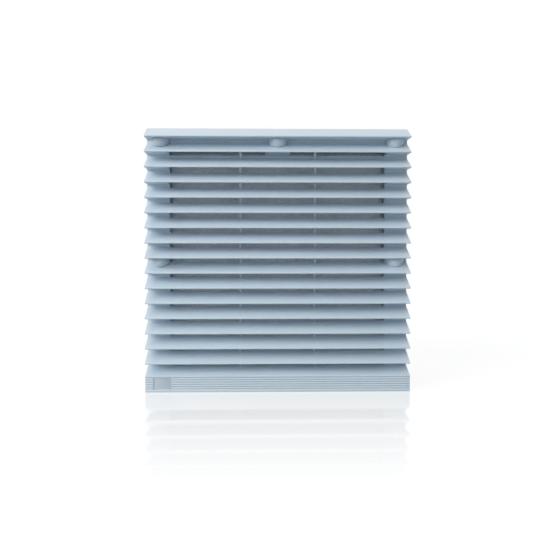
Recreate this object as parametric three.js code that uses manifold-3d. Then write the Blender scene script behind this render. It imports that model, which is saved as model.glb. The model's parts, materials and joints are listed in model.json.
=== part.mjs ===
// Louvred filter fan for the wall of a fume cabinet or enclosure, in millimetres.
// X points right, Z points up and the louvre faces -Y. The origin lies in the middle of the
// panel cut-out, on the front surface of the panel (y = 0).

import * as THREE from 'three';
import { mergeVertices } from 'three/addons/utils/BufferGeometryUtils.js';
import Module from 'manifold-3d';

const wasm = await Module();
wasm.setup();

// ---- driving dimensions ----

const GAP = 0.3;

// louvre cover
const frontSize = 323;
const halfFront = frontSize / 2;
const slatCount = 16;
const slatPitch = 18.35;
const slatDrop = 12.4;
const lipHeight = 1.4;
const lipY = -32;
const wallY = -9.5;
const skin = 2.5;
const rimBackY = -0.5;
const apronDrop = 10;
const apronY = -31;
const ridgeCount = 7;
const ridgePitch = 2.65;
const ridgeDepth = 0.6;
const openHalf = 133.5;
const cheekBackY = -6.4;
const ribX = 45.9;
const ribWidth = 2.4;
const slitUpstand = 3.2;
const badgeWidth = 21.7;
const badgeHeight = 15.1;
const badgeLeft = 9.7;
const badgeDepth = 1.4;
const tongueX = 95;
const tongueWidth = 12;

// screw caps and the panel screws behind them
const capX = 145.3;
const capDrop = 16.1;
const capRadius = 11.35;
const capReach = 15.8;
const wellDrop = 17.9;
const wellRadius = 6.5;
const middleRow = 8;
const screwHeadRadius = 4;
const screwRadius = 2;

// base frame, gasket, mat and grid
const flangeHalf = 158.5;
const flangeFrontY = -6;
const flangeBackY = -3;
const collarHalf = 137;
const collarWall = 2.5;
const backPlateY = 28;
const backPlateThick = 3;
const ledgeY = 17.8;
const matSize = 268;
const matFrontY = 2;
const matThick = 12;
const gridThick = 3;
const gridCells = 6;
const gridBar = 2.6;
const gridRim = 8;
const clipX = 72;
const clipWidth = 31;

// axial fan
const fanSize = 225;
const fanFrontY = backPlateY + backPlateThick + GAP;
const fanBackY = fanFrontY + 80;
const fanFlange = 4;
const ductRadius = 103;
const ductWall = 4;
const fanScrewX = 104;
const mountFrontY = 98;
const mountThick = 7;
const mountRadius = 44;
const bladeCount = 7;
const bladeTip = 101;
const hubRadius = 52;
const padTop = 108;
const terminalX = [-11, 0, 11];
const terminalY = 72;
const guardRings = 6;

const inner = collarHalf - collarWall;
const wallBackY = wallY + skin;
const slope = slatDrop / (wallY - lipY);
const slopeSkin = skin * Math.sqrt(1 + slope * slope);
const mountBackY = mountFrontY + mountThick;

// ---- materials ----

function plastic(colour, roughness = 0.5) {
  return new THREE.MeshStandardMaterial({ color: colour, roughness, metalness: 0 });
}

function metal(colour, roughness = 0.35) {
  return new THREE.MeshStandardMaterial({ color: colour, roughness, metalness: 1 });
}

const looks = {
  cover: () => plastic(0xb7c9d7),
  cap: () => plastic(0xa0b1c2),
  badge: () => plastic(0xa4b4c3, 0.35),
  frame: () => plastic(0x9fb0bf),
  mat: () => plastic(0x6b7078, 0.95),
  foam: () => plastic(0x2b2c2e, 0.9),
  black: () => plastic(0x1d1e20),
  steel: () => metal(0xb9bcc0),
  darkSteel: () => metal(0x55585c, 0.5),
  aluminium: () => metal(0xc9ccce),
  copper: () => metal(0xb5672f),
  brass: () => metal(0xc9a44b),
};

// ---- solids ----

// Makes a manifold solid from a closed geometry.
function solid(geometry) {
  const bare = geometry.clone();
  bare.deleteAttribute('normal');
  bare.deleteAttribute('uv');
  const merged = mergeVertices(bare, 1e-4);
  const index = merged.index.array;
  const triangles = [];
  for (let i = 0; i < index.length; i += 3) {
    const [a, b, c] = [index[i], index[i + 1], index[i + 2]];
    if (a !== b && b !== c && c !== a) triangles.push(a, b, c);
  }
  return new wasm.Manifold(new wasm.Mesh({
    numProp: 3,
    vertProperties: new Float32Array(merged.attributes.position.array),
    triVerts: new Uint32Array(triangles),
  }));
}

function geometryOf(manifold) {
  const mesh = manifold.getMesh();
  const geometry = new THREE.BufferGeometry();
  geometry.setAttribute('position', new THREE.BufferAttribute(mesh.vertProperties, 3));
  geometry.setIndex(new THREE.BufferAttribute(mesh.triVerts, 1));
  const flat = geometry.toNonIndexed();
  flat.computeVertexNormals();
  return flat;
}

function join(...pieces) {
  return pieces.flat().reduce((whole, piece) => whole.add(piece));
}

function cut(whole, ...tools) {
  return tools.flat().reduce((rest, tool) => rest.subtract(tool), whole);
}

// A box between two corners.
function box(x0, x1, y0, y1, z0, z1) {
  const geometry = new THREE.BoxGeometry(x1 - x0, y1 - y0, z1 - z0);
  geometry.translate((x0 + x1) / 2, (y0 + y1) / 2, (z0 + z1) / 2);
  return solid(geometry);
}

// A square tube about the Y axis: the box of one half-width without the box of another.
function squareTube(outer, hole, y0, y1) {
  return cut(
    box(-outer, outer, y0, y1, -outer, outer),
    box(-hole, hole, y0 - 1, y1 + 1, -hole, hole),
  );
}

// An outline of [y, z] points drawn out along X.
function acrossX(outline, x0, x1) {
  const shape = new THREE.Shape(outline.map(([y, z]) => new THREE.Vector2(y, z)));
  const geometry = new THREE.ExtrudeGeometry(shape, { depth: x1 - x0, bevelEnabled: false });
  const turn = new THREE.Matrix4().makeBasis(
    new THREE.Vector3(0, 1, 0), new THREE.Vector3(0, 0, 1), new THREE.Vector3(1, 0, 0));
  geometry.applyMatrix4(turn);
  geometry.translate(x0, 0, 0);
  return solid(geometry);
}

// A round bar along Y.
function rod(radius, y0, y1, x = 0, z = 0, segments = 24) {
  const geometry = new THREE.CylinderGeometry(radius, radius, y1 - y0, segments);
  geometry.translate(x, (y0 + y1) / 2, z);
  return solid(geometry);
}

// A profile of [radius, y] points turned about the Y axis and closed on itself.
function turned(profile, segments = 32) {
  const points = [...profile, profile[0]].map(([r, y]) => new THREE.Vector2(r, y));
  if (THREE.ShapeUtils.area(points) < 0) points.reverse();
  return solid(new THREE.LatheGeometry(points, segments));
}

function ring(outer, hole, y0, y1, segments = 20) {
  return turned([[hole, y0], [outer, y0], [outer, y1], [hole, y1]], segments);
}

function moved(manifold, x, y, z) {
  return manifold.translate([x, y, z]);
}

const unit = new THREE.Group();

function addMesh(name, manifold, material, parent = unit) {
  const mesh = new THREE.Mesh(geometryOf(manifold), material);
  mesh.name = name;
  parent.add(mesh);
}

function place(x, y, z) {
  const group = new THREE.Group();
  group.position.set(x, y, z);
  unit.add(group);
  return group;
}

// ---- louvre cover ----

// Height of the rear edge of a slat, counted from the top.
function slatRear(row) {
  return halfFront - row * slatPitch;
}

// Height of a slat's lower skin at a depth.
function slatUnderside(row, y) {
  return slatRear(row) - slopeSkin - (wallY - y) * slope;
}

// The stepped front line, from the top rear edge to the bottom rear edge.
function frontLine(backY) {
  const line = [[backY, halfFront], [wallY, halfFront]];
  for (let row = 0; row < slatCount; row += 1) {
    const z = slatRear(row);
    line.push([lipY, z - slatDrop], [lipY, z - slatDrop - lipHeight]);
    line.push([wallY, z - slatDrop - lipHeight], [wallY, slatRear(row + 1)]);
  }
  const apronTop = slatRear(slatCount) - apronDrop;
  const grooveY = apronY + ridgeDepth;
  line.push([apronY, apronTop]);
  for (let ridge = 0; ridge < ridgeCount; ridge += 1) {
    const z = apronTop - 0.9 - ridge * ridgePitch;
    line.push([apronY, z], [grooveY, z - 0.3], [grooveY, z - 1.1], [apronY, z - 1.4]);
  }
  line.push([apronY, -halfFront], [backY, -halfFront]);
  return line;
}

// The same line one skin further in, from bottom to top.
function rearLine() {
  const apronInnerY = apronY + skin;
  const apronRear = slatRear(slatCount);
  const apronSlope = apronDrop / (wallY - apronY);
  const apronSkin = skin * Math.sqrt(1 + apronSlope * apronSlope);
  const line = [
    [rimBackY, skin - halfFront],
    [apronInnerY, skin - halfFront],
    [apronInnerY, apronRear - apronSkin - (wallY - apronInnerY) * apronSlope],
    [wallBackY, apronRear - apronSkin + skin * apronSlope],
  ];
  for (let row = slatCount - 1; row >= 0; row -= 1) {
    const floor = slatRear(row) - slatDrop - lipHeight + skin;
    const tipY = wallY - (slatRear(row) - slopeSkin - floor) / slope;
    line.push([wallBackY, floor], [tipY, floor]);
    if (row > 0) line.push([wallBackY, slatUnderside(row, wallBackY)]);
  }
  const topInner = halfFront - skin;
  line.push([wallY - (halfFront - slopeSkin - topInner) / slope, topInner], [rimBackY, topInner]);
  return line;
}

// The air space under one slat, between the two cheeks.
function slatOpening(row, floor) {
  const frontY = lipY + 1.7;
  const backY = wallBackY + 1;
  const outline = [
    [frontY, slatUnderside(row, frontY)],
    [wallY - skin, slatUnderside(row, frontY)],
    [wallY - skin, floor],
    [backY, floor],
    [backY, slatUnderside(row, backY)],
  ];
  return acrossX(outline, -openHalf, openHalf);
}

// One stretch of an upright rib, from a slat down to the next, its front edge leaning back.
function ribStretch(row, x) {
  const next = slatRear(row + 1) - 1.5;
  const outline = [
    [-24, slatUnderside(row, -24) + 0.5],
    [wallY - 1.5, next],
    [cheekBackY, next],
    [cheekBackY, slatRear(row) - 1],
    [wallBackY - 1, slatRear(row) - 1],
  ];
  return acrossX(outline, x - ribWidth / 2, x + ribWidth / 2);
}

function capPlaces() {
  const top = halfFront;
  const middle = slatRear(middleRow);
  return [[-capX, top], [0, top], [capX, top], [-capX, middle], [capX, middle]];
}

// A round bar along Y with the part above a flat taken off.
function flatTopBar(radius, y0, y1, x, z, flat) {
  const bar = rod(radius, y0, y1, x, z, 16);
  return cut(bar, box(x - 20, x + 20, y0 - 1, y1 + 1, flat, flat + 20));
}

function louvreCover() {
  const full = acrossX(frontLine(rimBackY), -halfFront, halfFront);
  const hollow = [[10, skin - halfFront], ...rearLine().slice(1, -1), [10, halfFront - skin]];
  let cover = cut(
    full,
    acrossX(hollow, skin - halfFront, -openHalf - skin),
    acrossX(hollow, -openHalf, openHalf),
    acrossX(hollow, openHalf + skin, halfFront - skin),
    box(skin - halfFront, halfFront - skin, cheekBackY, 10, skin - halfFront, halfFront - skin),
  );
  cover = cut(cover, slatOpening(1, slatRear(2) + slitUpstand));
  for (let row = 2; row < slatCount; row += 1) {
    cover = cut(cover, slatOpening(row, slatRear(row + 1)));
  }
  for (const x of [-ribX, ribX]) {
    for (let row = 1; row < slatCount; row += 1) cover = cover.add(ribStretch(row, x));
  }
  const stiffenerTop = inner - 1;
  cover = cover.add(box(-15.5, 15.5, wallBackY - 0.3, -1.5, slatRear(2) - 1, stiffenerTop));
  for (const x of [-tongueX, tongueX]) {
    for (const side of [-1, 1]) {
      const z = side * 150;
      const frontY = side > 0 ? wallBackY - 14 : apronY + 1;
      const [left, right] = [x - tongueWidth / 2, x + tongueWidth / 2];
      cover = cover.add(box(left, right, frontY, flangeBackY - 0.2, z - 1, z + 1));
    }
  }
  for (const [x, top] of capPlaces()) {
    const flat = top - slatDrop - lipHeight;
    cover = cut(cover, flatTopBar(wellRadius, -22, wallBackY + 0.1, x, top - wellDrop, flat));
  }
  const badge = badgePlace();
  const pocket = box(badge.x0, badge.x1, apronY - 1, apronY + badgeDepth, badge.z0, badge.z1);
  return cut(cover, pocket);
}

function badgePlace() {
  const x0 = -halfFront + badgeLeft;
  const z1 = slatRear(slatCount) - apronDrop - 1;
  return { x0, x1: x0 + badgeWidth, z0: z1 - badgeHeight, z1 };
}

function badgeInlay() {
  const { x0, x1, z0, z1 } = badgePlace();
  const backY = apronY + badgeDepth - GAP;
  return box(x0 + GAP, x1 - GAP, backY - 0.8, backY, z0 + GAP, z1 - GAP);
}

// A domed cap in its own place: the origin is on the wall face, at the rear edge of the slat above.
function screwCap() {
  const backY = -GAP;
  const profile = [[0, backY]];
  const steps = 5;
  for (let step = 0; step <= steps; step += 1) {
    const angle = (step / steps) * Math.PI / 2;
    profile.push([capRadius * Math.cos(angle), backY - capReach * Math.sin(angle)]);
  }
  const dome = moved(turned(profile, 20), 0, 0, -capDrop);
  const flat = -slatDrop - lipHeight - GAP;
  const stemRadius = wellRadius - GAP;
  const core = flatTopBar(stemRadius, -12.2, 5, 0, -wellDrop, flat);
  const slatTop = GAP * 1.2 - slatPitch;
  const below = acrossX([
    [1, slatTop], [0, slatTop], [-30, slatTop - 30 * slope], [-30, -80], [1, -80],
  ], -20, 20);
  const above = box(-20, 20, -30, 1, flat, 10);
  const stem = flatTopBar(stemRadius, -1, skin - GAP, 0, -wellDrop, flat);
  const bore = rod(stemRadius - 1.4, -4, 5, 0, -wellDrop, 12);
  return cut(join(cut(dome, above, cut(below, core)), stem), bore);
}

// ---- frame, gasket, grid, mat and clips ----

function panelScrewPlaces() {
  const places = capPlaces().map(([x, top]) => [x, top - wellDrop]);
  const bottom = wellDrop - halfFront;
  return [...places, [-capX, bottom], [0, bottom], [capX, bottom]];
}

function panScrew(length, headRadius, radius) {
  const head = 2.4;
  return turned([
    [0, -head], [headRadius, -head], [headRadius, 0], [radius, 0], [radius, length], [0, length],
  ], 10);
}

function baseFrame() {
  const half = fanScrewX;
  let frame = join(
    squareTube(flangeHalf, inner, flangeFrontY, flangeBackY),
    squareTube(collarHalf, inner, flangeFrontY, backPlateY + backPlateThick),
    squareTube(inner + 1, inner - 4, ledgeY, ledgeY + 2),
    cut(
      box(-inner - 1, inner + 1, backPlateY, backPlateY + backPlateThick, -inner - 1, inner + 1),
      rod(ductRadius, backPlateY - 1, backPlateY + 5, 0, 0, 40),
    ),
  );
  for (const [x, z] of panelScrewPlaces()) {
    frame = cut(frame, rod(screwRadius + GAP, flangeFrontY - 1, flangeBackY + 1, x, z, 10));
  }
  for (const x of [-half, half]) {
    for (const z of [-half, half]) {
      frame = cut(frame, rod(screwRadius + GAP, backPlateY - 1, backPlateY + 5, x, z, 10));
    }
  }
  for (const x of [-tongueX, tongueX]) {
    for (const z of [-150, 150]) {
      const slotHalf = tongueWidth / 2 + 0.5;
      frame = cut(frame, box(x - slotHalf, x + slotHalf, -10, 0, z - 1.5, z + 1.5));
    }
  }
  return frame;
}

function panelGasket() {
  const gasket = squareTube(flangeHalf - 1, collarHalf + 1, flangeBackY + GAP, 0);
  const holes = panelScrewPlaces().map(([x, z]) => rod(screwRadius + 0.6, -5, 1, x, z, 8));
  return cut(gasket, holes);
}

function matGrid() {
  const half = matSize / 2;
  const frontY = matFrontY + matThick + GAP;
  const backY = frontY + gridThick;
  const spacing = (matSize - 2 * gridRim + gridBar) / gridCells;
  let grid = squareTube(half, half - gridRim, frontY, backY);
  for (let bar = 1; bar < gridCells; bar += 1) {
    const from = -half + gridRim + bar * spacing - gridBar;
    grid = grid.add(box(from, from + gridBar, frontY, backY, 1 - half, half - 1));
    grid = grid.add(box(1 - half, half - 1, frontY, backY, from, from + gridBar));
  }
  return grid;
}

// A spring clip beside the upper wall of the collar, drawn in Y and Z and as wide as clipWidth.
function panelClip(side) {
  const root = collarHalf + GAP;
  const thick = 0.8;
  const flare = 3.2;
  const line = [
    [26, root], [24, root], [4.2, root + flare],
    [4.2, root + flare + thick], [24.2, root + thick], [26, root + thick],
  ];
  const outline = line.map(([y, z]) => [y, side * z]);
  if (side < 0) outline.reverse();
  return acrossX(outline, -clipWidth / 2, clipWidth / 2);
}

// ---- fan ----

function fanHousing() {
  const half = fanSize / 2;
  const outer = ductRadius + ductWall;
  const plates = [
    box(-half, half, fanFrontY, fanFrontY + fanFlange, -half, half),
    box(-half, half, fanBackY - fanFlange, fanBackY, -half, half),
    rod(outer, fanFrontY, fanBackY, 0, 0, 40),
    box(-20, 32, 58, 104, 60, padTop),
  ];
  let housing = cut(join(plates), rod(ductRadius, fanFrontY - 1, fanBackY + 1, 0, 0, 40));
  const strutHalf = 4;
  const reach = ductRadius + 1;
  const mount = join(
    rod(mountRadius, mountFrontY, mountBackY, 0, 0, 32),
    box(-strutHalf, strutHalf, mountFrontY, mountBackY, -reach, reach),
    box(-reach, reach, mountFrontY, mountBackY, -strutHalf, strutHalf),
  );
  const bearingHole = rod(14 + GAP, mountFrontY - 1, mountBackY + 1);
  const leadHole = rod(3, mountFrontY - 1, mountBackY + 1, 0, 30, 12);
  const leadSlot = box(-2.1, 2.1, mountBackY - 1.5, mountBackY + 4, 102, padTop + 1);
  const leadGroove = box(-2.1, 2.1, 80, mountBackY + 4, 104.3, padTop + 1);
  housing = join(housing, mount);
  housing = cut(housing, bearingHole, leadHole, leadSlot, leadGroove);
  for (const x of [-fanScrewX, fanScrewX]) {
    for (const z of [-fanScrewX, fanScrewX]) {
      housing = cut(housing, rod(screwRadius + GAP, fanFrontY - 1, fanBackY + 1, x, z, 10));
    }
  }
  return housing;
}

// One blade, drawn as a curved section and drawn out from the hub to the tip, then wrapped
// round the fan's axis so that its tip follows the duct.
function blade(angle) {
  const stations = 5;
  const root = hubRadius - 1.5;
  const axial = 42;
  const chord = 40;
  const camber = 5;
  const thick = 2.4;
  const upper = [];
  const lower = [];
  for (let step = 0; step <= stations; step += 1) {
    const s = step / stations;
    const across = chord * (s - 0.5) + camber * Math.sin(Math.PI * s);
    const along = axial * (s - 0.5);
    const half = thick * (0.35 + 0.65 * Math.sin(Math.PI * s)) / 2;
    upper.push(new THREE.Vector2(across - half, along + half));
    lower.push(new THREE.Vector2(across + half, along - half));
  }
  const shape = new THREE.Shape([...upper, ...lower.reverse()]);
  const geometry = new THREE.ExtrudeGeometry(
    shape, { depth: bladeTip - root, steps: 2, bevelEnabled: false });
  const position = geometry.attributes.position;
  for (let i = 0; i < position.count; i += 1) {
    const radius = root + position.getZ(i);
    const widen = 0.75 + 0.6 * (radius - root) / (bladeTip - root);
    const turn = angle + position.getX(i) * widen / radius;
    const y = 67 + position.getY(i);
    position.setXYZ(i, radius * Math.sin(turn), y, radius * Math.cos(turn));
  }
  return solid(geometry);
}

function impeller() {
  const innerRadius = hubRadius - 3.2;
  const hub = turned([
    [0, 40], [hubRadius - 4, 40], [hubRadius, 44], [hubRadius, 94],
    [innerRadius, 94], [innerRadius, 43.2], [0, 43.2],
  ], 36);
  const blades = [];
  for (let index = 0; index < bladeCount; index += 1) {
    blades.push(blade((index / bladeCount) * 2 * Math.PI));
  }
  const bore = rod(innerRadius, 43.2, 100, 0, 0, 36);
  return cut(join(hub, blades), bore);
}

function rotorCup() {
  const outer = hubRadius - 3.5;
  return turned([
    [0, 43.5], [outer, 43.5], [outer, 93], [outer - 2, 93], [outer - 2, 45.5], [0, 45.5],
  ], 36);
}

// Laminated stator stack with open slots between its teeth.
function statorCore() {
  const slots = 12;
  let core = ring(37.6, 14.3, 54, 84, 36);
  for (let index = 0; index < slots; index += 1) {
    const angle = (index / slots) * 2 * Math.PI;
    const slot = new THREE.BoxGeometry(4, 40, 12);
    slot.translate(0, 69, 34);
    slot.rotateY(angle);
    core = cut(core, solid(slot));
  }
  return core;
}

function statorWinding(y0, y1) {
  const crown = 2;
  return turned([
    [18, y0 + crown], [20, y0], [33, y0], [35, y0 + crown],
    [35, y1 - crown], [33, y1], [20, y1], [18, y1 - crown],
  ], 24);
}

function bearingTube() {
  return turned([
    [11.3, 47.5], [14, 47.5], [14, mountBackY + GAP], [20, mountBackY + GAP],
    [20, mountBackY + 2.3], [11.3, mountBackY + 2.3],
  ], 24);
}

function circlip() {
  const opening = box(-1.6, 1.6, 101, 105, 0, 12);
  return cut(ring(7, 4 + GAP, 102, 103), opening);
}

// The motor lead runs through the motor mount, up the back of a strut and under the terminals.
function motorLead() {
  const backY = mountBackY + 1.8;
  const stops = [
    [92.4, 30], [99, 30], [104.6, 30.4], [backY, 33], [backY, 42], [backY, 72],
    [backY, 98], [backY - 0.2, 104], [103.6, 106.1], [98, 106.3], [86.5, 106.3],
  ];
  const path = new THREE.CatmullRomCurve3(
    stops.map(([y, z]) => new THREE.Vector3(0, y, z)), false, 'centripetal');
  const section = new THREE.Shape();
  section.absarc(0, 0, 1.4, 0, 2 * Math.PI, false);
  return solid(new THREE.ExtrudeGeometry(
    section, { steps: 24, curveSegments: 4, extrudePath: path }));
}

function wireRing(radius, wire, y, segments = 24) {
  return turned([
    [radius - wire, y], [radius, y - wire], [radius + wire, y], [radius, y + wire],
  ], segments);
}

function fingerGuard() {
  const spokeY = fanBackY + 2;
  const ringY = spokeY + 2.1;
  const wires = [];
  for (let index = 0; index < guardRings; index += 1) {
    wires.push(wireRing(18 + index * 17, 1.3, ringY));
  }
  const eyeRadius = 3.8;
  const reach = fanScrewX * Math.SQRT2 - eyeRadius;
  for (const angle of [Math.PI / 4, -Math.PI / 4]) {
    for (const end of [-1, 1]) {
      const from = 16;
      const spoke = new THREE.CylinderGeometry(1.6, 1.6, reach - from, 4);
      spoke.rotateZ(Math.PI / 2);
      spoke.translate(end * (from + reach) / 2, spokeY, 0);
      spoke.rotateY(angle);
      wires.push(solid(spoke));
    }
  }
  for (const x of [-fanScrewX, fanScrewX]) {
    for (const z of [-fanScrewX, fanScrewX]) {
      wires.push(moved(wireRing(eyeRadius, 1.3, spokeY, 8), x, 0, z));
    }
  }
  return join(wires);
}

// ---- terminals ----

function terminalBlock() {
  let block = box(-17, 17, 61.5, 84, padTop + GAP, padTop + 12);
  for (const x of terminalX) {
    const well = new THREE.CylinderGeometry(3.2, 3.2, 10, 10);
    well.rotateX(Math.PI / 2);
    well.translate(x, terminalY, padTop + 13.5);
    const hole = new THREE.CylinderGeometry(1.9, 1.9, 22, 8);
    hole.rotateX(Math.PI / 2);
    hole.translate(x, terminalY, padTop + 13);
    block = cut(block, solid(well), solid(hole));
    block = cut(block, box(x - 2.5, x + 2.5, 55, 66, padTop + 2, padTop + 6.5));
  }
  return block;
}

function terminalCover() {
  const outer = box(-20, 20, 57, 87, padTop + GAP, padTop + 16);
  const hollow = box(-18.4, 18.4, 58.6, 85.4, padTop - 1, padTop + 14.4);
  const cableGap = box(-12, 12, 56, 60, padTop - 1, padTop + 6);
  return cut(outer, hollow, cableGap);
}

function earthTab() {
  const z = padTop + GAP;
  const outline = [[60, z], [71, z], [71, z + 12], [70, z + 12], [70, z + 1], [60, z + 1]];
  return acrossX(outline, 23, 29.3);
}

// ---- assembly ----

addMesh('louvre_cover', louvreCover(), looks.cover());
addMesh('badge_inlay', badgeInlay(), looks.badge());
capPlaces().forEach(([x, top], index) => {
  addMesh(`screw_cap_${index + 1}`, screwCap(), looks.cap(), place(x, wallY, top));
});
addMesh('base_frame', baseFrame(), looks.frame());
addMesh('panel_gasket', panelGasket(), looks.foam());
panelScrewPlaces().forEach(([x, z], index) => {
  const screw = panScrew(16, screwHeadRadius, screwRadius);
  addMesh(`panel_screw_${index + 1}`, screw, looks.steel(), place(x, flangeFrontY - GAP, z));
});
const matBackY = matFrontY + matThick;
const matHalf = matSize / 2;
const mat = box(-matHalf, matHalf, matFrontY, matBackY, -matHalf, matHalf);
addMesh('filter_mat', mat, looks.mat());
addMesh('mat_grid', matGrid(), looks.frame());
[[-clipX, 1], [clipX, 1], [-clipX, -1], [clipX, -1]].forEach(([x, side], index) => {
  addMesh(`panel_clip_${index + 1}`, panelClip(side), looks.steel(), place(x, 0, 0));
});

addMesh('fan_housing', fanHousing(), looks.black());
addMesh('impeller', impeller(), looks.black());
addMesh('rotor_cup', rotorCup(), looks.darkSteel());
addMesh('rotor_core', ring(46.2, 38.2, 50, 88, 36), looks.darkSteel());
addMesh('rotor_shaft', rod(4, 45.8, 103.6), looks.steel());
addMesh('bearing_front', ring(11, 4 + GAP, 49, 56), looks.steel());
addMesh('bearing_rear', ring(11, 4 + GAP, 94, 101), looks.steel());
addMesh('bearing_tube', bearingTube(), looks.aluminium());
addMesh('stator_core', statorCore(), looks.darkSteel());
addMesh('winding_front', statorWinding(46.5, 53.7), looks.copper());
addMesh('winding_rear', statorWinding(84.3, 92), looks.copper());
addMesh('shaft_circlip', circlip(), looks.steel());
addMesh('motor_lead', motorLead(), looks.black());
addMesh('finger_guard', fingerGuard(), looks.steel());
const corners = [[-1, 1], [1, 1], [-1, -1], [1, -1]];
corners.forEach(([u, v], index) => {
  const [x, z] = [u * fanScrewX, v * fanScrewX];
  const screw = panScrew(12, 3.6, screwRadius);
  addMesh(`fan_screw_${index + 1}`, screw, looks.steel(), place(x, backPlateY - GAP, z));
  const back = place(x, fanBackY + 3.6, z);
  back.rotation.z = Math.PI;
  addMesh(`guard_screw_${index + 1}`, panScrew(12, 5.2, screwRadius), looks.steel(), back);
});

addMesh('terminal_block', terminalBlock(), looks.black());
terminalX.forEach((x, index) => {
  const spot = place(x, terminalY, padTop + 8.5 + GAP);
  spot.rotation.x = -Math.PI / 2;
  addMesh(`terminal_screw_${index + 1}`, panScrew(6, 2.6, 1.5), looks.brass(), spot);
});
addMesh('terminal_cover', terminalCover(), looks.black());
addMesh('earth_tab', earthTab(), looks.brass());

export default unit;
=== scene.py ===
"""Louvred filter fan: the looks of the cover, mat, frame and fan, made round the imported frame."""

import json
import math

import bmesh
import bpy
from bpy.props import FloatProperty, FloatVectorProperty, IntProperty, PointerProperty
from mathutils import Matrix, Vector, noise


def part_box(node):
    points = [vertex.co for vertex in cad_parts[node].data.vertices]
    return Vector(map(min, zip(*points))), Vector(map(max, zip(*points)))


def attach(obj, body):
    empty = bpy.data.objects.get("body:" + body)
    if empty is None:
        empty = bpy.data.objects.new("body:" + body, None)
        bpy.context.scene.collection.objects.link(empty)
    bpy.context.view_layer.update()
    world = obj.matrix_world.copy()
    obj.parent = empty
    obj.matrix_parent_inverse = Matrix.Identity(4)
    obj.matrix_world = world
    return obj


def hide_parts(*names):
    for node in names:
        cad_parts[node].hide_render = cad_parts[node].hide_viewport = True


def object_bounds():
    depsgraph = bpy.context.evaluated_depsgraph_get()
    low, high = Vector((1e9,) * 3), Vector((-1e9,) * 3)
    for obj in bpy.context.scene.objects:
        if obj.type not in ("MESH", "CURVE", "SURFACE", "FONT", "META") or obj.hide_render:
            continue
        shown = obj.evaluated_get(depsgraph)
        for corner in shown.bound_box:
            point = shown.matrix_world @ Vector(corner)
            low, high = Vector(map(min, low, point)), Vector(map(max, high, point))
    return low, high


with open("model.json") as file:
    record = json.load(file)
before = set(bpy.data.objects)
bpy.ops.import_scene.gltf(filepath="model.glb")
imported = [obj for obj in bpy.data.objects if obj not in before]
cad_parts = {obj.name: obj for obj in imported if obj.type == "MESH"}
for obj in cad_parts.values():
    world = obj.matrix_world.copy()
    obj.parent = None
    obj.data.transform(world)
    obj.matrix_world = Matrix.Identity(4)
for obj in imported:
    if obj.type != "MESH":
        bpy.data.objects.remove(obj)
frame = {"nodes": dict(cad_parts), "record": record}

bl_info = {
    "name": "Louvred filter fan",
    "version": (1, 0, 0),
    "blender": (4, 5, 0),
    "location": "View3D > Sidebar > Filter fan",
    "description": "Builds a louvred filter fan round its packed frame",
    "category": "Object",
}

MM = 0.001
CAD_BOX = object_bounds()

# The cover's four snap tongues sit at these distances from its middle.
TONGUE_X, TONGUE_Z = 95 * MM, 150 * MM

# Stage: lights as (name, direction they come from, power, spread in degrees).
SUNS = (("softbox_above", (-0.35, -0.25, 0.9), 0.62, 50),
        ("softbox_front", (-0.68, -0.63, 0.42), 1.65, 36))
SKY_COLOUR, SKY_AT_HORIZON, SKY_OVERHEAD = (0.93, 0.97, 1.0, 1.0), 0.27, 0.40
WHITE = (1.0, 1.0, 1.0, 1.0)
FLOOR_HALF, FLOOR_BOUNCE, FLOOR_GLOW = 30.0, 0.35, 0.87
MIRROR_SHARE, MIRROR_REACH = 0.35, 0.31
CAMERA_X, CAMERA_DISTANCE, CAMERA_Z = -0.0308, 0.769, 0.0128
CAMERA_LENS, CAMERA_PITCH, CAMERA_YAW = 42.92, 1.595, 1.235

# Places taken from the frame: (lowest corner, highest corner) of a node.
COVER_LOW, COVER_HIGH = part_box("louvre_cover")
FLANGE_LOW, FLANGE_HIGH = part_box("base_frame")
GASKET_LOW, GASKET_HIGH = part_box("panel_gasket")
MAT_LOW, MAT_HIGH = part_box("filter_mat")
GRID_LOW, GRID_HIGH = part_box("mat_grid")
HOUSING_LOW, HOUSING_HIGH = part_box("fan_housing")
BADGE_LOW, BADGE_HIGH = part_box("badge_inlay")
TUBE_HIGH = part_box("bearing_tube")[1]

CAPS, PANEL_SCREWS, FAN_SCREWS, GUARD_SCREWS, TERMINAL_SCREWS, CLIPS = (
    [name for name in frame["nodes"] if name.startswith(family)]
    for family in ("screw_cap", "panel_screw", "fan_screw", "guard_screw", "terminal_screw",
                   "panel_clip"))


def middle(node):
    low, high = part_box(node)
    return (low + high) / 2


def number_of(node):
    return node.rsplit("_", 1)[1]


def length(label, millimetres, text):
    """A length property, given in millimetres and kept in metres."""
    return FloatProperty(name=label, description=text, default=millimetres * MM,
                         unit="LENGTH", subtype="DISTANCE", precision=5)


def colour(label, value, text):
    return FloatVectorProperty(name=label, description=text, default=value, size=3,
                               min=0.0, max=1.0, subtype="COLOR")


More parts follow.
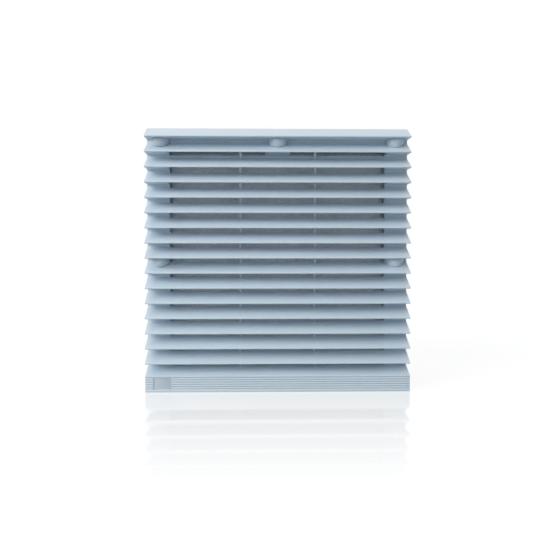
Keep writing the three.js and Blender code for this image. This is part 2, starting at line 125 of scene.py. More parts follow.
class FILTERFAN_PG_cover(bpy.types.PropertyGroup):
    slat_count: IntProperty(name="Slats", description="Number of sloped slats", default=16, min=1)
    slat_pitch: length("Slat pitch", 18.35, "Height from one slat to the next")
    slat_drop: length("Slat drop", 12.4, "Fall of a slat from its rear edge to its lip")
    lip_height: length("Lip height", 1.4, "Height of the upright face of a lip")
    louvre_depth: length("Louvre depth", 22.5, "Depth from the lips to the wall between the slats")
    skin: length("Skin", 2.5, "Thickness of the moulding")
    apron_drop: length("Apron drop", 10, "Fall of the slope above the apron")
    apron_setback: length("Apron setback", 1, "Distance of the apron behind the lips")
    ridge_count: IntProperty(name="Ridges", description="Grooves across the apron", default=6)
    ridge_pitch: length("Ridge pitch", 2.75, "Height from one ridge to the next")
    ridge_depth: length("Ridge depth", 0.6, "Depth of the grooves between the ridges")
    open_half: length("Opening", 133.5, "Half the width of the open field")
    cheek_back: length("Cheek back", 6.4, "Distance of the cheeks' rear edge before the panel")
    rib_place: length("Rib place", 45.9, "Distance of each rib from the middle")
    rib_width: length("Rib width", 2.4, "Thickness of a rib")
    upstand: length("Upstand", 3.2, "Height of the strip that half closes the first open row")
    edge: length("Edge", 0.45, "Rounding of the moulded edges")
    well_drop: length("Well drop", 17.9, "Height of a slat's rear edge above its screw well")
    well_radius: length("Well radius", 6.5, "Radius of a screw well")
    cap_drop: length("Cap drop", 16.1, "Height of a slat's rear edge above its cap")
    cap_radius: length("Cap radius", 11.35, "Radius of a cap at the wall")
    cap_reach: length("Cap reach", 15.8, "How far a cap stands out of the wall")


class FILTERFAN_PG_mat(bpy.types.PropertyGroup):
    swell: length("Swell", 0.8, "How far the fleece rises and falls over its face")
    fibre_length: length("Fibre length", 17, "Length of a loose fibre")
    fibre_radius: length("Fibre radius", 0.09, "Radius of a loose fibre")
    fibre_density: FloatProperty(name="Fibre density", description="Fibres on a square metre",
                                 default=52000.0, min=0.0)


class FILTERFAN_PG_fan(bpy.types.PropertyGroup):
    duct_radius: length("Duct radius", 103, "Inner radius of the duct")
    duct_wall: length("Duct wall", 4, "Thickness of the duct's wall")
    corner: length("Corner", 9, "Corner radius of the housing's flanges")
    flange: length("Flange", 4, "Thickness of the housing's flanges")
    blade_count: IntProperty(name="Blades", description="Blades of the impeller", default=7)
    blade_tip: length("Blade tip", 101, "Radius of the blades' tips")
    hub_radius: length("Hub radius", 52, "Radius of the impeller's hub")
    guard_rings: IntProperty(name="Guard rings", description="Rings of the guard", default=6)
    guard_first: length("First ring", 18, "Radius of the innermost ring")
    guard_step: length("Ring step", 17, "Distance from one ring to the next")
    guard_wire: length("Guard wire", 1.25, "Radius of the guard's wire")


class FILTERFAN_PG_finish(bpy.types.PropertyGroup):
    cover: colour("Cover", (0.67, 0.785, 0.875), "Colour of the cover and frame")
    # A touch lighter than the cover's colour: painted light, standing in for the light the domes catch.
    cap: colour("Caps", (0.68, 0.79, 0.885), "Colour of the screw caps")
    badge: colour("Badge", (0.60, 0.71, 0.81), "Colour of the blank badge")
    fleece: colour("Fleece", (0.93, 0.92, 1.0), "Colour of the filter mat")


# ---- shader building ----

class Value:
    """A number socket that can be reckoned with: an expression adds its Math nodes."""

    def __init__(self, build, socket):
        self.build = build
        self.socket = socket

    def reckon(self, operation, first, second):
        node = self.build.node("ShaderNodeMath", {"operation": operation}, {0: first, 1: second})
        return Value(self.build, node.outputs[0])

    def __add__(self, other):
        return self.reckon("ADD", self, other)

    __radd__ = __add__

    def __mul__(self, other):
        return self.reckon("MULTIPLY", self, other)

    __rmul__ = __mul__


def feed(tree, socket, value):
    """Links a socket to a value's socket, or sets it to a constant."""
    if isinstance(value, Value):
        value = value.socket
    if isinstance(value, bpy.types.NodeSocket):
        tree.links.new(value, socket)
    else:
        socket.default_value = value


def add_node(tree, kind, settings, inputs):
    """Adds a node: its settings first, then the values or links of its sockets."""
    node = tree.nodes.new(kind)
    for key, value in settings.items():
        setattr(node, key, value)
    for key, value in inputs.items():
        feed(tree, node.inputs[key], value)
    return node


class Finish:
    """One material on a Principled shader."""

    def __init__(self, name, base, roughness, metallic=0.0):
        self.material = bpy.data.materials.new(name)
        self.material.use_nodes = True
        self.material.diffuse_color = (*base, 1.0)
        self.tree = self.material.node_tree
        self.shader = self.tree.nodes["Principled BSDF"]
        self.drive("Base Color", (*base, 1.0))
        self.drive("Roughness", roughness)
        self.drive("Metallic", metallic)
        self.place = self.node("ShaderNodeTexCoord", {}, {}).outputs["Object"]

    def node(self, kind, settings, inputs):
        return add_node(self.tree, kind, settings, inputs)

    def drive(self, name, value):
        """Feeds one of the shader's sockets."""
        feed(self.tree, self.shader.inputs[name], value)

    def cloud(self, size, detail=3.0, stretch=(1.0, 1.0, 1.0), roughness=0.5, distortion=0.0):
        """Noise from 0 to 1 whose spots are about size metres wide."""
        mapped = self.node("ShaderNodeMapping", {}, {"Vector": self.place, "Scale": stretch})
        made = self.node("ShaderNodeTexNoise", {}, {
            "Vector": mapped.outputs[0], "Scale": 1.0 / size, "Detail": detail,
            "Roughness": roughness, "Distortion": distortion})
        return Value(self, made.outputs["Fac"])

    def ramp(self, value, low, high):
        """Value moved so that low becomes 0 and high becomes 1, and held there."""
        made = self.node("ShaderNodeMapRange", {"clamp": True}, {
            "Value": value, "From Min": low, "From Max": high})
        return Value(self, made.outputs[0])

    def distance_outside(self, low, high):
        """How far a point lies outside a box."""
        low, high = Vector(low), Vector(high)
        steps = (("SUBTRACT", (low + high) / 2), ("ABSOLUTE", None),
                 ("SUBTRACT", (high - low) / 2), ("MAXIMUM", Vector()), ("LENGTH", None))
        reached = self.place
        for operation, other in steps:
            inputs = {0: reached} if other is None else {0: reached, 1: other}
            made = self.node("ShaderNodeVectorMath", {"operation": operation}, inputs)
            reached = made.outputs["Value" if operation == "LENGTH" else "Vector"]
        return reached

    def mix(self, factor, first, second):
        made = self.node("ShaderNodeMix", {"data_type": "RGBA"}, {
            0: factor, 6: self.rgba(first), 7: self.rgba(second)})
        return made.outputs[2]

    @staticmethod
    def rgba(value):
        return (*value, 1.0) if isinstance(value, tuple) and len(value) == 3 else value

    def paint(self, factor, first, second):
        self.drive("Base Color", self.mix(factor, first, second))

    def gloss(self, value):
        self.drive("Roughness", value)

    def relief(self, height, distance, strength=1.0):
        bump = self.node("ShaderNodeBump", {}, {
            "Height": height, "Distance": distance, "Strength": strength})
        self.drive("Normal", bump.outputs[0])


def tinted(base, factor):
    return tuple(min(1.0, channel * factor) for channel in base)


def moulded_plastic(name, base, roughness=0.42, grain=0.45 * MM, depth=0.02 * MM):
    """Moulded plastic with a fine eroded grain and faint flow marks."""
    finish = Finish(name, base, roughness)
    grit = finish.cloud(grain, detail=4.0, roughness=0.6)
    flow = finish.cloud(60 * MM, detail=2.0, stretch=(0.35, 1.0, 1.0))
    finish.paint(flow, tinted(base, 0.965), tinted(base, 1.03))
    finish.gloss(roughness - 0.07 + grit * 0.14)
    finish.relief(grit, depth)
    finish.drive("Specular IOR Level", 0.42)
    return finish.material


def smooth_plastic(name, base):
    """Polished plastic with hardly any grain."""
    finish = Finish(name, base, 0.22)
    veil = finish.cloud(6 * MM, detail=3.0)
    finish.paint(veil, tinted(base, 0.97), tinted(base, 1.02))
    finish.gloss(0.18 + veil * 0.12)
    finish.relief(finish.cloud(2.5 * MM), 0.01 * MM)
    return finish.material


def fleece_fabric(name, base):
    """Bonded fibre fleece: matted strands with dark gaps, and warmer spots scattered at random."""
    finish = Finish(name, base, 0.95)
    long_strands = finish.cloud(2.2 * MM, detail=5.0, stretch=(0.25, 1.0, 1.0), distortion=0.8)
    cross_strands = finish.cloud(1.6 * MM, detail=5.0, stretch=(1.0, 1.0, 0.3), distortion=0.8)
    tufts = finish.cloud(11 * MM, detail=3.0)
    strands = finish.ramp(long_strands * 0.5 + cross_strands * 0.5, 0.36, 0.64)
    felt = finish.mix(strands, tinted(base, 0.8), tinted(base, 1.22))
    # A warmer tint, laid in spots scattered at random over the face.
    warm = tuple(min(1.0, channel * lean) for channel, lean in zip(base, (1.12, 0.98, 0.92)))
    spots = finish.ramp(tufts, 0.45, 0.7)
    finish.paint(spots * 0.45, felt, warm)
    finish.relief(strands, 0.4 * MM)
    finish.drive("Sheen Weight", 0.25)
    finish.drive("Sheen Roughness", 0.6)
    return finish.material


def fibre_strand(name, base):
    finish = Finish(name, base, 0.7)
    tone = finish.cloud(3 * MM, detail=2.0)
    finish.paint(tone, tinted(base, 0.7), tinted(base, 1.5))
    finish.gloss(0.6 + tone * 0.2)
    return finish.material


def foam_rubber(name, base):
    """Closed-cell foam with small open cells on its cut faces."""
    finish = Finish(name, base, 0.9)
    cells = finish.node("ShaderNodeTexVoronoi", {}, {"Vector": finish.place, "Scale": 1400.0})
    pores = Value(finish, cells.outputs["Distance"])
    finish.paint(pores, tinted(base, 0.6), tinted(base, 1.5))
    finish.gloss(0.82 + pores * 0.15)
    finish.relief(pores, 0.15 * MM)
    return finish.material


def cast_paint(name, base):
    """Paint on a die casting: slightly orange-peeled, with worn high spots."""
    finish = Finish(name, base, 0.48)
    peel = finish.cloud(1.6 * MM, detail=3.0)
    worn = finish.ramp(finish.cloud(14 * MM, detail=6.0, roughness=0.7), 0.62, 0.75)
    finish.paint(worn, base, tinted(base, 1.7))
    finish.gloss(0.42 + peel * 0.16)
    finish.relief(peel, 0.06 * MM)
    return finish.material


def turned_metal(name, base, roughness, grain=0.6 * MM, stretch=(1.0, 0.05, 1.0)):
    """Machined or drawn metal with fine marks one way and a dull veil."""
    finish = Finish(name, base, roughness, metallic=1.0)
    marks = finish.cloud(grain, detail=4.0, stretch=stretch)
    veil = finish.cloud(9 * MM, detail=4.0)
    finish.paint(veil, tinted(base, 0.86), tinted(base, 1.08))
    finish.gloss(roughness - 0.08 + marks * 0.1 + veil * 0.08)
    finish.relief(marks, 0.012 * MM)
    return finish.material


def laminated_steel(name, base):
    """A stack of thin sheets seen from its edge."""
    finish = Finish(name, base, 0.45, metallic=1.0)
    sheets = finish.node("ShaderNodeTexWave", {"bands_direction": "Y"}, {
        "Vector": finish.place, "Scale": 320.0, "Distortion": 0.3})
    lines = Value(finish, sheets.outputs["Fac"])
    finish.paint(lines, tinted(base, 0.55), tinted(base, 1.1))
    finish.relief(lines, 0.1 * MM)
    return finish.material


def wound_copper(name, base):
    """Enamelled wire laid round a coil."""
    finish = Finish(name, base, 0.3, metallic=1.0)
    turns = finish.node("ShaderNodeTexWave", {"wave_type": "RINGS", "rings_direction": "Y"}, {
        "Vector": finish.place, "Scale": 260.0, "Distortion": 1.5, "Detail": 1.0})
    wires = Value(finish, turns.outputs["Fac"])
    finish.paint(wires, tinted(base, 0.45), tinted(base, 1.1))
    finish.gloss(0.25 + wires * 0.1)
    finish.relief(wires, 0.3 * MM)
    finish.drive("Coat Weight", 0.6)
    return finish.material


MATERIALS = {}


def material(name):
    """The named finish, made once."""
    if name not in MATERIALS:
        tones = bpy.context.scene.filter_fan_finish
        black = (0.018, 0.018, 0.019)
        # Finish: (its maker, its colour, then what its maker takes further).
        makers = {
            "cover_plastic": (moulded_plastic, tones.cover),
            # The caps take a lighter copy of the cover's colour: painted light on the domes.
            "cap_plastic": (moulded_plastic, tones.cap, 0.36),
            "badge_plastic": (smooth_plastic, tones.badge),
            "frame_plastic": (moulded_plastic, tinted(tones.cover, 0.85), 0.46, 0.6 * MM),
            "filter_fleece": (fleece_fabric, tones.fleece),
            "fleece_fibre": (fibre_strand, tinted(tones.fleece, 1.25)),
            "gasket_foam": (foam_rubber, (0.03, 0.03, 0.032)),
            "housing_metal": (cast_paint, black),
            "impeller_plastic": (moulded_plastic, (0.02, 0.02, 0.021), 0.4, 0.9 * MM),
            "rotor_steel": (turned_metal, (0.34, 0.35, 0.37), 0.35),
            "lamination_steel": (laminated_steel, (0.30, 0.31, 0.33)),
            "shaft_steel": (turned_metal, (0.62, 0.63, 0.65), 0.2),
            "bearing_steel": (turned_metal, (0.68, 0.69, 0.71), 0.16),
            "tube_aluminium": (turned_metal, (0.74, 0.75, 0.76), 0.3),
            "winding_copper": (wound_copper, (0.62, 0.27, 0.10)),
            "lead_rubber": (moulded_plastic, (0.014, 0.014, 0.015), 0.55, 0.8 * MM),
            "guard_chrome": (turned_metal, (0.72, 0.73, 0.75), 0.14, 1.5 * MM, (1.0, 1.0, 1.0)),
            "screw_steel": (turned_metal, (0.66, 0.67, 0.70), 0.26, 0.5 * MM),
            "clip_steel": (turned_metal, (0.58, 0.59, 0.61), 0.28, 0.4 * MM, (0.05, 1.0, 1.0)),
            "terminal_plastic": (moulded_plastic, (0.022, 0.022, 0.024), 0.4),
            "terminal_brass": (turned_metal, (0.66, 0.48, 0.2), 0.28, 0.5 * MM),
        }
        make, base, *details = makers[name]
        MATERIALS[name] = make(name, tuple(base), *details)
    return MATERIALS[name]


# ---- mesh building ----

def shaded(mesh, degrees=32.0):
    """Smooth faces with a crease wherever the surface turns more than the angle."""
    mesh.polygons.foreach_set("use_smooth", [True] * len(mesh.polygons))
    mesh.set_sharp_from_angle(angle=math.radians(degrees))
    mesh.update()


def in_scene(name, data):
    """A new object that shows the data."""
    made = bpy.data.objects.new(name, data)
    bpy.context.scene.collection.objects.link(made)
    return made


def new_object(name, shape):
    """An object from a bmesh, which is used up."""
    mesh = bpy.data.meshes.new(name)
    bmesh.ops.recalc_face_normals(shape, faces=shape.faces)
    shape.to_mesh(mesh)
    shape.free()
    return in_scene(name, mesh)


def evaluated_mesh(made):
    """The mesh of an object with its modifiers done."""
    graph = bpy.context.evaluated_depsgraph_get()
    return bpy.data.meshes.new_from_object(made.evaluated_get(graph))


def settle(made):
    """Does the object's modifiers for good."""
    mesh = evaluated_mesh(made)
    made.modifiers.clear()
    made.data = mesh
    return made


def discard(made):
    bpy.data.objects.remove(made, do_unlink=True)


def carve(made, tool, operation="DIFFERENCE"):
    """Cuts or joins a closed tool, which is used up."""
    step = made.modifiers.new("carve", "BOOLEAN")
    step.solver = "EXACT"
    step.operation = operation
    step.object = tool
    settle(made)
    discard(tool)
    return made


def join(name, parts):
    """One object from several, which are used up."""
    shape = bmesh.new()
    for part in parts:
        shape.from_mesh(part.data)
        discard(part)
    mesh = bpy.data.meshes.new(name)
    shape.to_mesh(mesh)
    shape.free()
    # Clearing also puts every face back into the first material slot.
    mesh.materials.clear()
    return in_scene(name, mesh)


def soften(made, width, degrees=35.0, segments=2):
    """Rounds the edges that turn more than the angle."""
    step = made.modifiers.new("soften", "BEVEL")
    step.width = width
    step.segments = segments
    step.limit_method = "ANGLE"
    step.angle_limit = math.radians(degrees)
    step.use_clamp_overlap = True
    step.harden_normals = False
    return settle(made)


def finish_piece(made, name, body, slot, nodes, degrees=32.0):
    """Names a piece, gives it its finish and ties it to its body."""
    made.name = name
    made.data.name = name
    shaded(made.data, degrees)
    if not made.data.materials:
        made.data.materials.append(material(slot))
    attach(made, body)
    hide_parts(*nodes)


def arc_corner(before, corner, after, radius, steps=3):
    """Points that round one corner of an outline."""
    to_before = (before - corner).normalized()
    to_after = (after - corner).normalized()
    opening = to_before.angle(to_after)
    if radius <= 0 or opening > math.radians(175):
        return [corner]
    reach = radius / math.tan(opening / 2)
    limit = 0.45 * min((before - corner).length, (after - corner).length)
    if reach > limit:
        radius *= limit / reach
        reach = limit
    centre = corner + (to_before + to_after).normalized() * radius / math.sin(opening / 2)
    start = corner + to_before * reach - centre
    end = corner + to_after * reach - centre
    turn = math.atan2(start.x * end.y - start.y * end.x, start.dot(end))
    points = []
    for step in range(steps + 1):
        angle = turn * step / steps
        cos, sin = math.cos(angle), math.sin(angle)
        points.append(centre + Vector((start.x * cos - start.y * sin,
                                       start.x * sin + start.y * cos)))
    return points


def rounded(corners, steps=3):
    """A closed outline from (u, v, radius) corners."""
    points = []
    count = len(corners)
    for index, (u, v, radius) in enumerate(corners):
        before = Vector(corners[index - 1][:2])
        after = Vector(corners[(index + 1) % count][:2])
        points += arc_corner(before, Vector((u, v)), after, radius, steps)
    return points


def inset_normals(outline):
    """For each point of an outline, the step that moves it one unit into the shape."""
    area = sum(a.x * b.y - b.x * a.y for a, b in zip(outline, outline[1:] + outline[:1]))
    side = 1.0 if area > 0 else -1.0
    normals = []
    for index, point in enumerate(outline):
        back = (point - outline[index - 1]).normalized()
        ahead = (outline[(index + 1) % len(outline)] - point).normalized()
        one = Vector((-back.y, back.x)) * side
        two = Vector((-ahead.y, ahead.x)) * side
        normals.append((one + two) / max(0.4, 1.0 + one.dot(two)))
    return normals


def prism(shape, outline, x0, x1, edge=0.0, steps=3):
    """Adds an outline in Y and Z drawn out along X, with its end edges rounded."""
    normals = inset_normals(outline)
    stations = []
    if edge > 0:
        for step in range(steps + 1):
            angle = math.pi / 2 * (1 - step / steps)
            stations.append((x0 + edge * (1 - math.sin(angle)), edge * (1 - math.cos(angle))))
        stations += [(x0 + x1 - x, inset) for x, inset in reversed(stations)]
    else:
        stations = [(x0, 0.0), (x1, 0.0)]
    rings = []
    for x, inset in stations:
        ring = []
        for point, normal in zip(outline, normals):
            moved = point + normal * inset
            ring.append(shape.verts.new((x, moved.x, moved.y)))
        rings.append(ring)
    skin_rings(shape, rings)
    shape.faces.new(rings[0])
    shape.faces.new(list(reversed(rings[-1])))


def skin_rings(shape, rings, closed=False):
    """Joins neighbouring rings of vertices by faces."""
    pairs = list(zip(rings, rings[1:]))
    if closed:
        pairs.append((rings[-1], rings[0]))
    for one, two in pairs:
        count = max(len(one), len(two))
        for index in range(count):
            after = (index + 1) % count
            corners = [one[index % len(one)], two[index % len(two)],
                       two[after % len(two)], one[after % len(one)]]
            kept = [v for place, v in enumerate(corners) if v not in corners[:place]]
            if len(kept) > 2:
                shape.faces.new(kept)


def block(shape, low, high):
    """Adds a plain box."""
    made = bmesh.ops.create_cube(shape, size=1.0)
    size = Vector(high) - Vector(low)
    centre = (Vector(high) + Vector(low)) / 2
    for vertex in made["verts"]:
        vertex.co = Vector(a * b for a, b in zip(vertex.co, size)) + centre


def block_object(low, high):
    shape = bmesh.new()
    block(shape, low, high)
    return new_object("block", shape)


def prism_object(outline, spans, edge=0.0):
    """An object of one outline drawn out over spans of X."""
    shape = bmesh.new()
    for x0, x1 in spans:
        prism(shape, outline, x0, x1, edge)
    return new_object("prism", shape)


def chamfer_tool(x, y, wide, deep, z0, z1):
    """A wedge that cuts the upright edge at x, y back by wide along X and by deep along Y."""
    past = 0.1
    corners = ((x - past * wide, y - past * deep), (x + wide * (1 + past), y - past * deep),
               (x - past * wide, y + deep * (1 + past)))
    shape = bmesh.new()
    low, high = ([shape.verts.new((a, b, z)) for a, b in corners] for z in (z0, z1))
    skin_rings(shape, [low, high])
    shape.faces.new(low)
    shape.faces.new(high)
    return new_object("chamfer", shape)


def turned(profile, segments=64):
    """An object from a closed profile of (radius, y) points turned about the Y axis."""
    shape = bmesh.new()
    rings = []
    for radius, y in profile:
        if radius < 1e-7:
            rings.append([shape.verts.new((0, y, 0))])
            continue
        ring = []
        for index in range(segments):
            angle = 2 * math.pi * index / segments
            ring.append(shape.verts.new((radius * math.sin(angle), y, radius * math.cos(angle))))
        rings.append(ring)
    on_axis = len(rings[0]) == 1 and len(rings[-1]) == 1
    skin_rings(shape, rings, closed=not on_axis)
    return new_object("turned", shape)


def rod(radius, y0, y1):
    """The profile of a solid cylinder."""
    return [(0.0, y0), (radius, y0), (radius, y1), (0.0, y1)]


def turned_round(corners, segments=64, steps=3):
    """The same from (radius, y, rounding) corners in millimetres."""
    scaled = [(r * MM, y * MM, rounding * MM) for r, y, rounding in corners]
    on_axis = scaled[0][0] == 0 and scaled[-1][0] == 0
    points = rounded(scaled, steps)
    if on_axis:
        points = [Vector((0 if abs(p.x) < 1e-9 else p.x, p.y)) for p in points]
    return turned([(p.x, p.y) for p in points], segments)


def shifted(made, x, y, z):
    made.data.transform(Matrix.Translation((x, y, z)))
    return made


def circle(x, z, radius, segments=32, start=0.0):
    """A round loop in X and Z."""
    return [(x + radius * math.cos(start + 2 * math.pi * step / segments),
             z + radius * math.sin(start + 2 * math.pi * step / segments))
            for step in range(segments)]


def holes_at(nodes, radius, segments=24):
    """Round loops at the middles of frame nodes."""
    return [circle(middle(node).x, middle(node).z, radius, segments) for node in nodes]


def rectangle(x0, x1, z0, z1, radius):
    """A rectangular loop in X and Z with round corners."""
    corners = [(x0, z0, radius), (x1, z0, radius), (x1, z1, radius), (x0, z1, radius)]
    return [(p.x, p.y) for p in rounded(corners, steps=6)]


def square(half, radius):
    return rectangle(-half, half, -half, half, radius)


def merged(mesh):
    """A bmesh of a mesh with its doubled vertices made one."""
    shape = bmesh.new()
    shape.from_mesh(mesh)
    bmesh.ops.remove_doubles(shape, verts=shape.verts, dist=1e-6)
    return shape


def plate(loops, y0, y1, edge):
    """A flat plate across Y from an outer loop and its holes, with rounded edges."""
    curve = bpy.data.curves.new("plate", "CURVE")
    curve.dimensions = "2D"
    curve.fill_mode = "BOTH"
    curve.extrude = (y1 - y0) / 2 - edge
    curve.bevel_depth = edge
    curve.bevel_resolution = 1
    curve.offset = -edge
    for loop in loops:
        spline = curve.splines.new("POLY")
        spline.points.add(len(loop) - 1)
        for point, (x, z) in zip(spline.points, loop):
            point.co = (x, z, 0, 1)
        spline.use_cyclic_u = True
    flat = in_scene("plate", curve)
    shape = merged(evaluated_mesh(flat))
    discard(flat)
    turn = Matrix.Translation((0, (y0 + y1) / 2, 0)) @ Matrix.Rotation(math.pi / 2, 4, "X")
    bmesh.ops.transform(shape, matrix=turn, verts=shape.verts)
    return new_object("plate", shape)


def tube(points, radius, sides=12):
    """A round tube along a smooth route, with closed ends."""
    curve = bpy.data.curves.new("tube", "CURVE")
    curve.dimensions = "3D"
    curve.bevel_depth = radius
    curve.bevel_resolution = sides // 4
    curve.use_fill_caps = True
    curve.resolution_u = 6
    spline = curve.splines.new("NURBS")
    spline.points.add(len(points) - 1)
    for place, point in zip(spline.points, points):
        place.co = (*point, 1)
    spline.use_endpoint_u = True
    spline.order_u = 3
    route = in_scene("tube", curve)
    shape = merged(evaluated_mesh(route))
    discard(route)
    return new_object("tube", shape)


def softened_node(node, width):
    """A copy of a frame node with its facets merged and its edges rounded."""
    shape = merged(frame["nodes"][node].data)
    bmesh.ops.dissolve_limit(shape, angle_limit=math.radians(1), verts=shape.verts,
                             edges=shape.edges)
    return soften(new_object(node, shape), width)


# ---- geometry nodes ----

class Recipe:
    """A Geometry Nodes tree with named inputs, run on an object and turned into a mesh."""

    def __init__(self, name):
        self.tree = bpy.data.node_groups.new(name, "GeometryNodeTree")
        self.tree.interface.new_socket("Geometry", in_out="INPUT", socket_type="NodeSocketGeometry")
        self.tree.interface.new_socket("Geometry", in_out="OUTPUT", socket_type="NodeSocketGeometry")
        self.given = self.tree.nodes.new("NodeGroupInput")
        self.values = {}

    def ask(self, label, kind, value):
        """Adds a named input and its value."""
        socket = self.tree.interface.new_socket(label, in_out="INPUT", socket_type=kind)
        self.values[socket.identifier] = value
        return self.given.outputs[label]

    def node(self, kind, settings, inputs):
        return add_node(self.tree, kind, settings, inputs)

    def reckon(self, operation, first, second):
        return self.node("ShaderNodeMath", {"operation": operation}, {0: first, 1: second}).outputs[0]

    def run(self, geometry, look, name, start=None):
        """Ends the tree, runs it on a start mesh and gives the result as an object."""
        real = self.node("GeometryNodeRealizeInstances", {}, {"Geometry": geometry})
        painted = self.node("GeometryNodeSetMaterial", {}, {
            "Geometry": real.outputs[0], "Material": material(look)})
        out = self.tree.nodes.new("NodeGroupOutput")
        self.tree.links.new(painted.outputs[0], out.inputs[0])
        if start is None:
            start = in_scene(name, bpy.data.meshes.new(name))
        step = start.modifiers.new(name, "NODES")
        step.node_group = self.tree
        for identifier, value in self.values.items():
            step[identifier] = value
        return settle(start)


def ring_of_copies(part, count, look, name):
    """Copies a part evenly round the Y axis."""
    recipe = Recipe(name)
    amount = recipe.ask("Count", "NodeSocketInt", count)
    one = recipe.node("GeometryNodeGeometryToInstance", {}, {0: recipe.given.outputs[0]})
    many = recipe.node("GeometryNodeDuplicateElements", {"domain": "INSTANCE"}, {
        "Geometry": one.outputs[0], "Amount": amount})
    step = recipe.reckon("DIVIDE", 2 * math.pi, amount)
    angle = recipe.reckon("MULTIPLY", many.outputs["Duplicate Index"], step)
    turn = recipe.node("ShaderNodeCombineXYZ", {}, {"Y": angle})
    spread = recipe.node("GeometryNodeRotateInstances", {}, {
        "Instances": many.outputs[0], "Rotation": turn.outputs[0]})
    return recipe.run(spread.outputs[0], look, name, start=part)


def copies_at(part, places, look, name):
    """Copies a part, made at the origin, to each of the places."""
    points = bpy.data.meshes.new(name)
    points.from_pydata([tuple(place) for place in places], [], [])
    start = in_scene(name, points)
    recipe = Recipe(name)
    source = recipe.ask("Part", "NodeSocketObject", part)
    info = recipe.node("GeometryNodeObjectInfo", {}, {"Object": source})
    spread = recipe.node("GeometryNodeInstanceOnPoints", {}, {
        "Points": recipe.given.outputs[0], "Instance": info.outputs["Geometry"]})
    made = recipe.run(spread.outputs[0], look, name, start=start)
    discard(part)
    return made


# ---- louvre cover ----

def cover_sizes():
    return bpy.context.scene.filter_fan_cover


def wall_y():
    return COVER_LOW.y + cover_sizes().louvre_depth


def slat_rear(row):
    return COVER_HIGH.z - row * cover_sizes().slat_pitch


def slat_slope():
    sizes = cover_sizes()
    return sizes.slat_drop / sizes.louvre_depth


def fan_sizes():
    return bpy.context.scene.filter_fan_fan


def slope_skin():
    """Height of the moulding's skin measured upright through a slat."""
    return cover_sizes().skin * math.hypot(1.0, slat_slope())


def slat_underside(row, y):
    return slat_rear(row) - slope_skin() - (wall_y() - y) * slat_slope()


def front_corners(back_y):
    """The stepped front of the cover with the rounding of each corner."""
    sizes = cover_sizes()
    top, bottom, lip, wall = COVER_HIGH.z, COVER_LOW.z, COVER_LOW.y, wall_y()
    edge = sizes.edge
    corners = [(back_y, top, edge), (wall, top, 2.5 * edge)]
    for row in range(sizes.slat_count):
        low = slat_rear(row) - sizes.slat_drop
        corners += [(lip, low, edge), (lip, low - sizes.lip_height, 0.8 * edge),
                    (wall, low - sizes.lip_height, edge), (wall, slat_rear(row + 1), edge)]
    apron = lip + sizes.apron_setback
    apron_top = slat_rear(sizes.slat_count) - sizes.apron_drop
    corners.append((apron, apron_top, 1.5 * edge))
    steps, margin = 6, 0.9 * MM
    for step in range(sizes.ridge_count * steps + 1):
        dip = 0.5 - 0.5 * math.cos(2 * math.pi * step / steps)
        height = apron_top - margin - step * sizes.ridge_pitch / steps
        corners.append((apron + sizes.ridge_depth * dip, height, 0))
    return corners + [(apron, bottom, edge), (back_y, bottom, edge)]


def hollow_corners():
    """The hollow behind the skin, from the bottom up."""
    sizes = cover_sizes()
    skin, wall = sizes.skin, wall_y()
    behind = 10 * MM
    inner_wall = wall + skin
    apron = COVER_LOW.y + sizes.apron_setback + skin
    slope = sizes.apron_drop / (sizes.louvre_depth - sizes.apron_setback)
    rear = slat_rear(sizes.slat_count) - skin * math.hypot(1.0, slope)
    corners = [(behind, COVER_LOW.z + skin), (apron, COVER_LOW.z + skin),
               (apron, rear - (wall - apron) * slope), (inner_wall, rear + skin * slope)]
    for row in reversed(range(sizes.slat_count)):
        floor = slat_rear(row) - sizes.slat_drop - sizes.lip_height + skin
        tip = wall - (slat_rear(row) - slope_skin() - floor) / slat_slope()
        corners += [(inner_wall, floor), (tip, floor)]
        if row > 0:
            corners.append((inner_wall, slat_underside(row, inner_wall)))
    ceiling = COVER_HIGH.z - skin
    turn = wall - (COVER_HIGH.z - slope_skin() - ceiling) / slat_slope()
    return [Vector(c) for c in corners + [(turn, ceiling), (behind, ceiling)]]


def slat_opening(row, floor):
    """The air space under a slat."""
    sizes = cover_sizes()
    lip, past = 1.7 * MM, 1 * MM
    front = COVER_LOW.y + lip
    rear = wall_y() + sizes.skin + past
    meeting = wall_y() - sizes.skin
    return [Vector(c) for c in (
        (front, slat_underside(row, front)), (meeting, slat_underside(row, front)),
        (meeting, floor), (rear, floor), (rear, slat_underside(row, rear)))]


def rib_corners():
    """An upright rib: its front edge leans back under every slat."""
    sizes = cover_sizes()
    back = -sizes.cheek_back
    front, tuck = -24 * MM, 1.5 * MM
    corners = [Vector((back, slat_rear(1) - MM)), Vector((wall_y() + 1.5 * MM, slat_rear(1) - MM))]
    for row in range(1, sizes.slat_count):
        corners.append(Vector((front, slat_underside(row, front) + 0.5 * MM)))
        corners.append(Vector((wall_y() - tuck, slat_rear(row + 1) - tuck)))
    return corners + [Vector((back, slat_rear(sizes.slat_count) - tuck))]


def cap_places():
    """(x, rear edge of the slat above) of each cap."""
    sizes = cover_sizes()
    places = []
    for name in CAPS:
        row = round((COVER_HIGH.z - middle(name).z - sizes.cap_drop) / sizes.slat_pitch)
        places.append((middle(name).x, slat_rear(row)))
    return places


def flat_top_bar(x, z, radius, y0, y1, flat):
    """A round bar along Y with the part above a height taken off."""
    loop = circle(x, z, radius, 48)
    shape = bmesh.new()
    ends = []
    for y in (y0, y1):
        ends.append([shape.verts.new((px, y, min(pz, flat))) for px, pz in loop])
    skin_rings(shape, ends)
    shape.faces.new(ends[0])
    shape.faces.new(list(reversed(ends[1])))
    bmesh.ops.remove_doubles(shape, verts=shape.verts, dist=1e-7)
    bmesh.ops.dissolve_degenerate(shape, dist=1e-7, edges=shape.edges)
    return new_object("bar", shape)


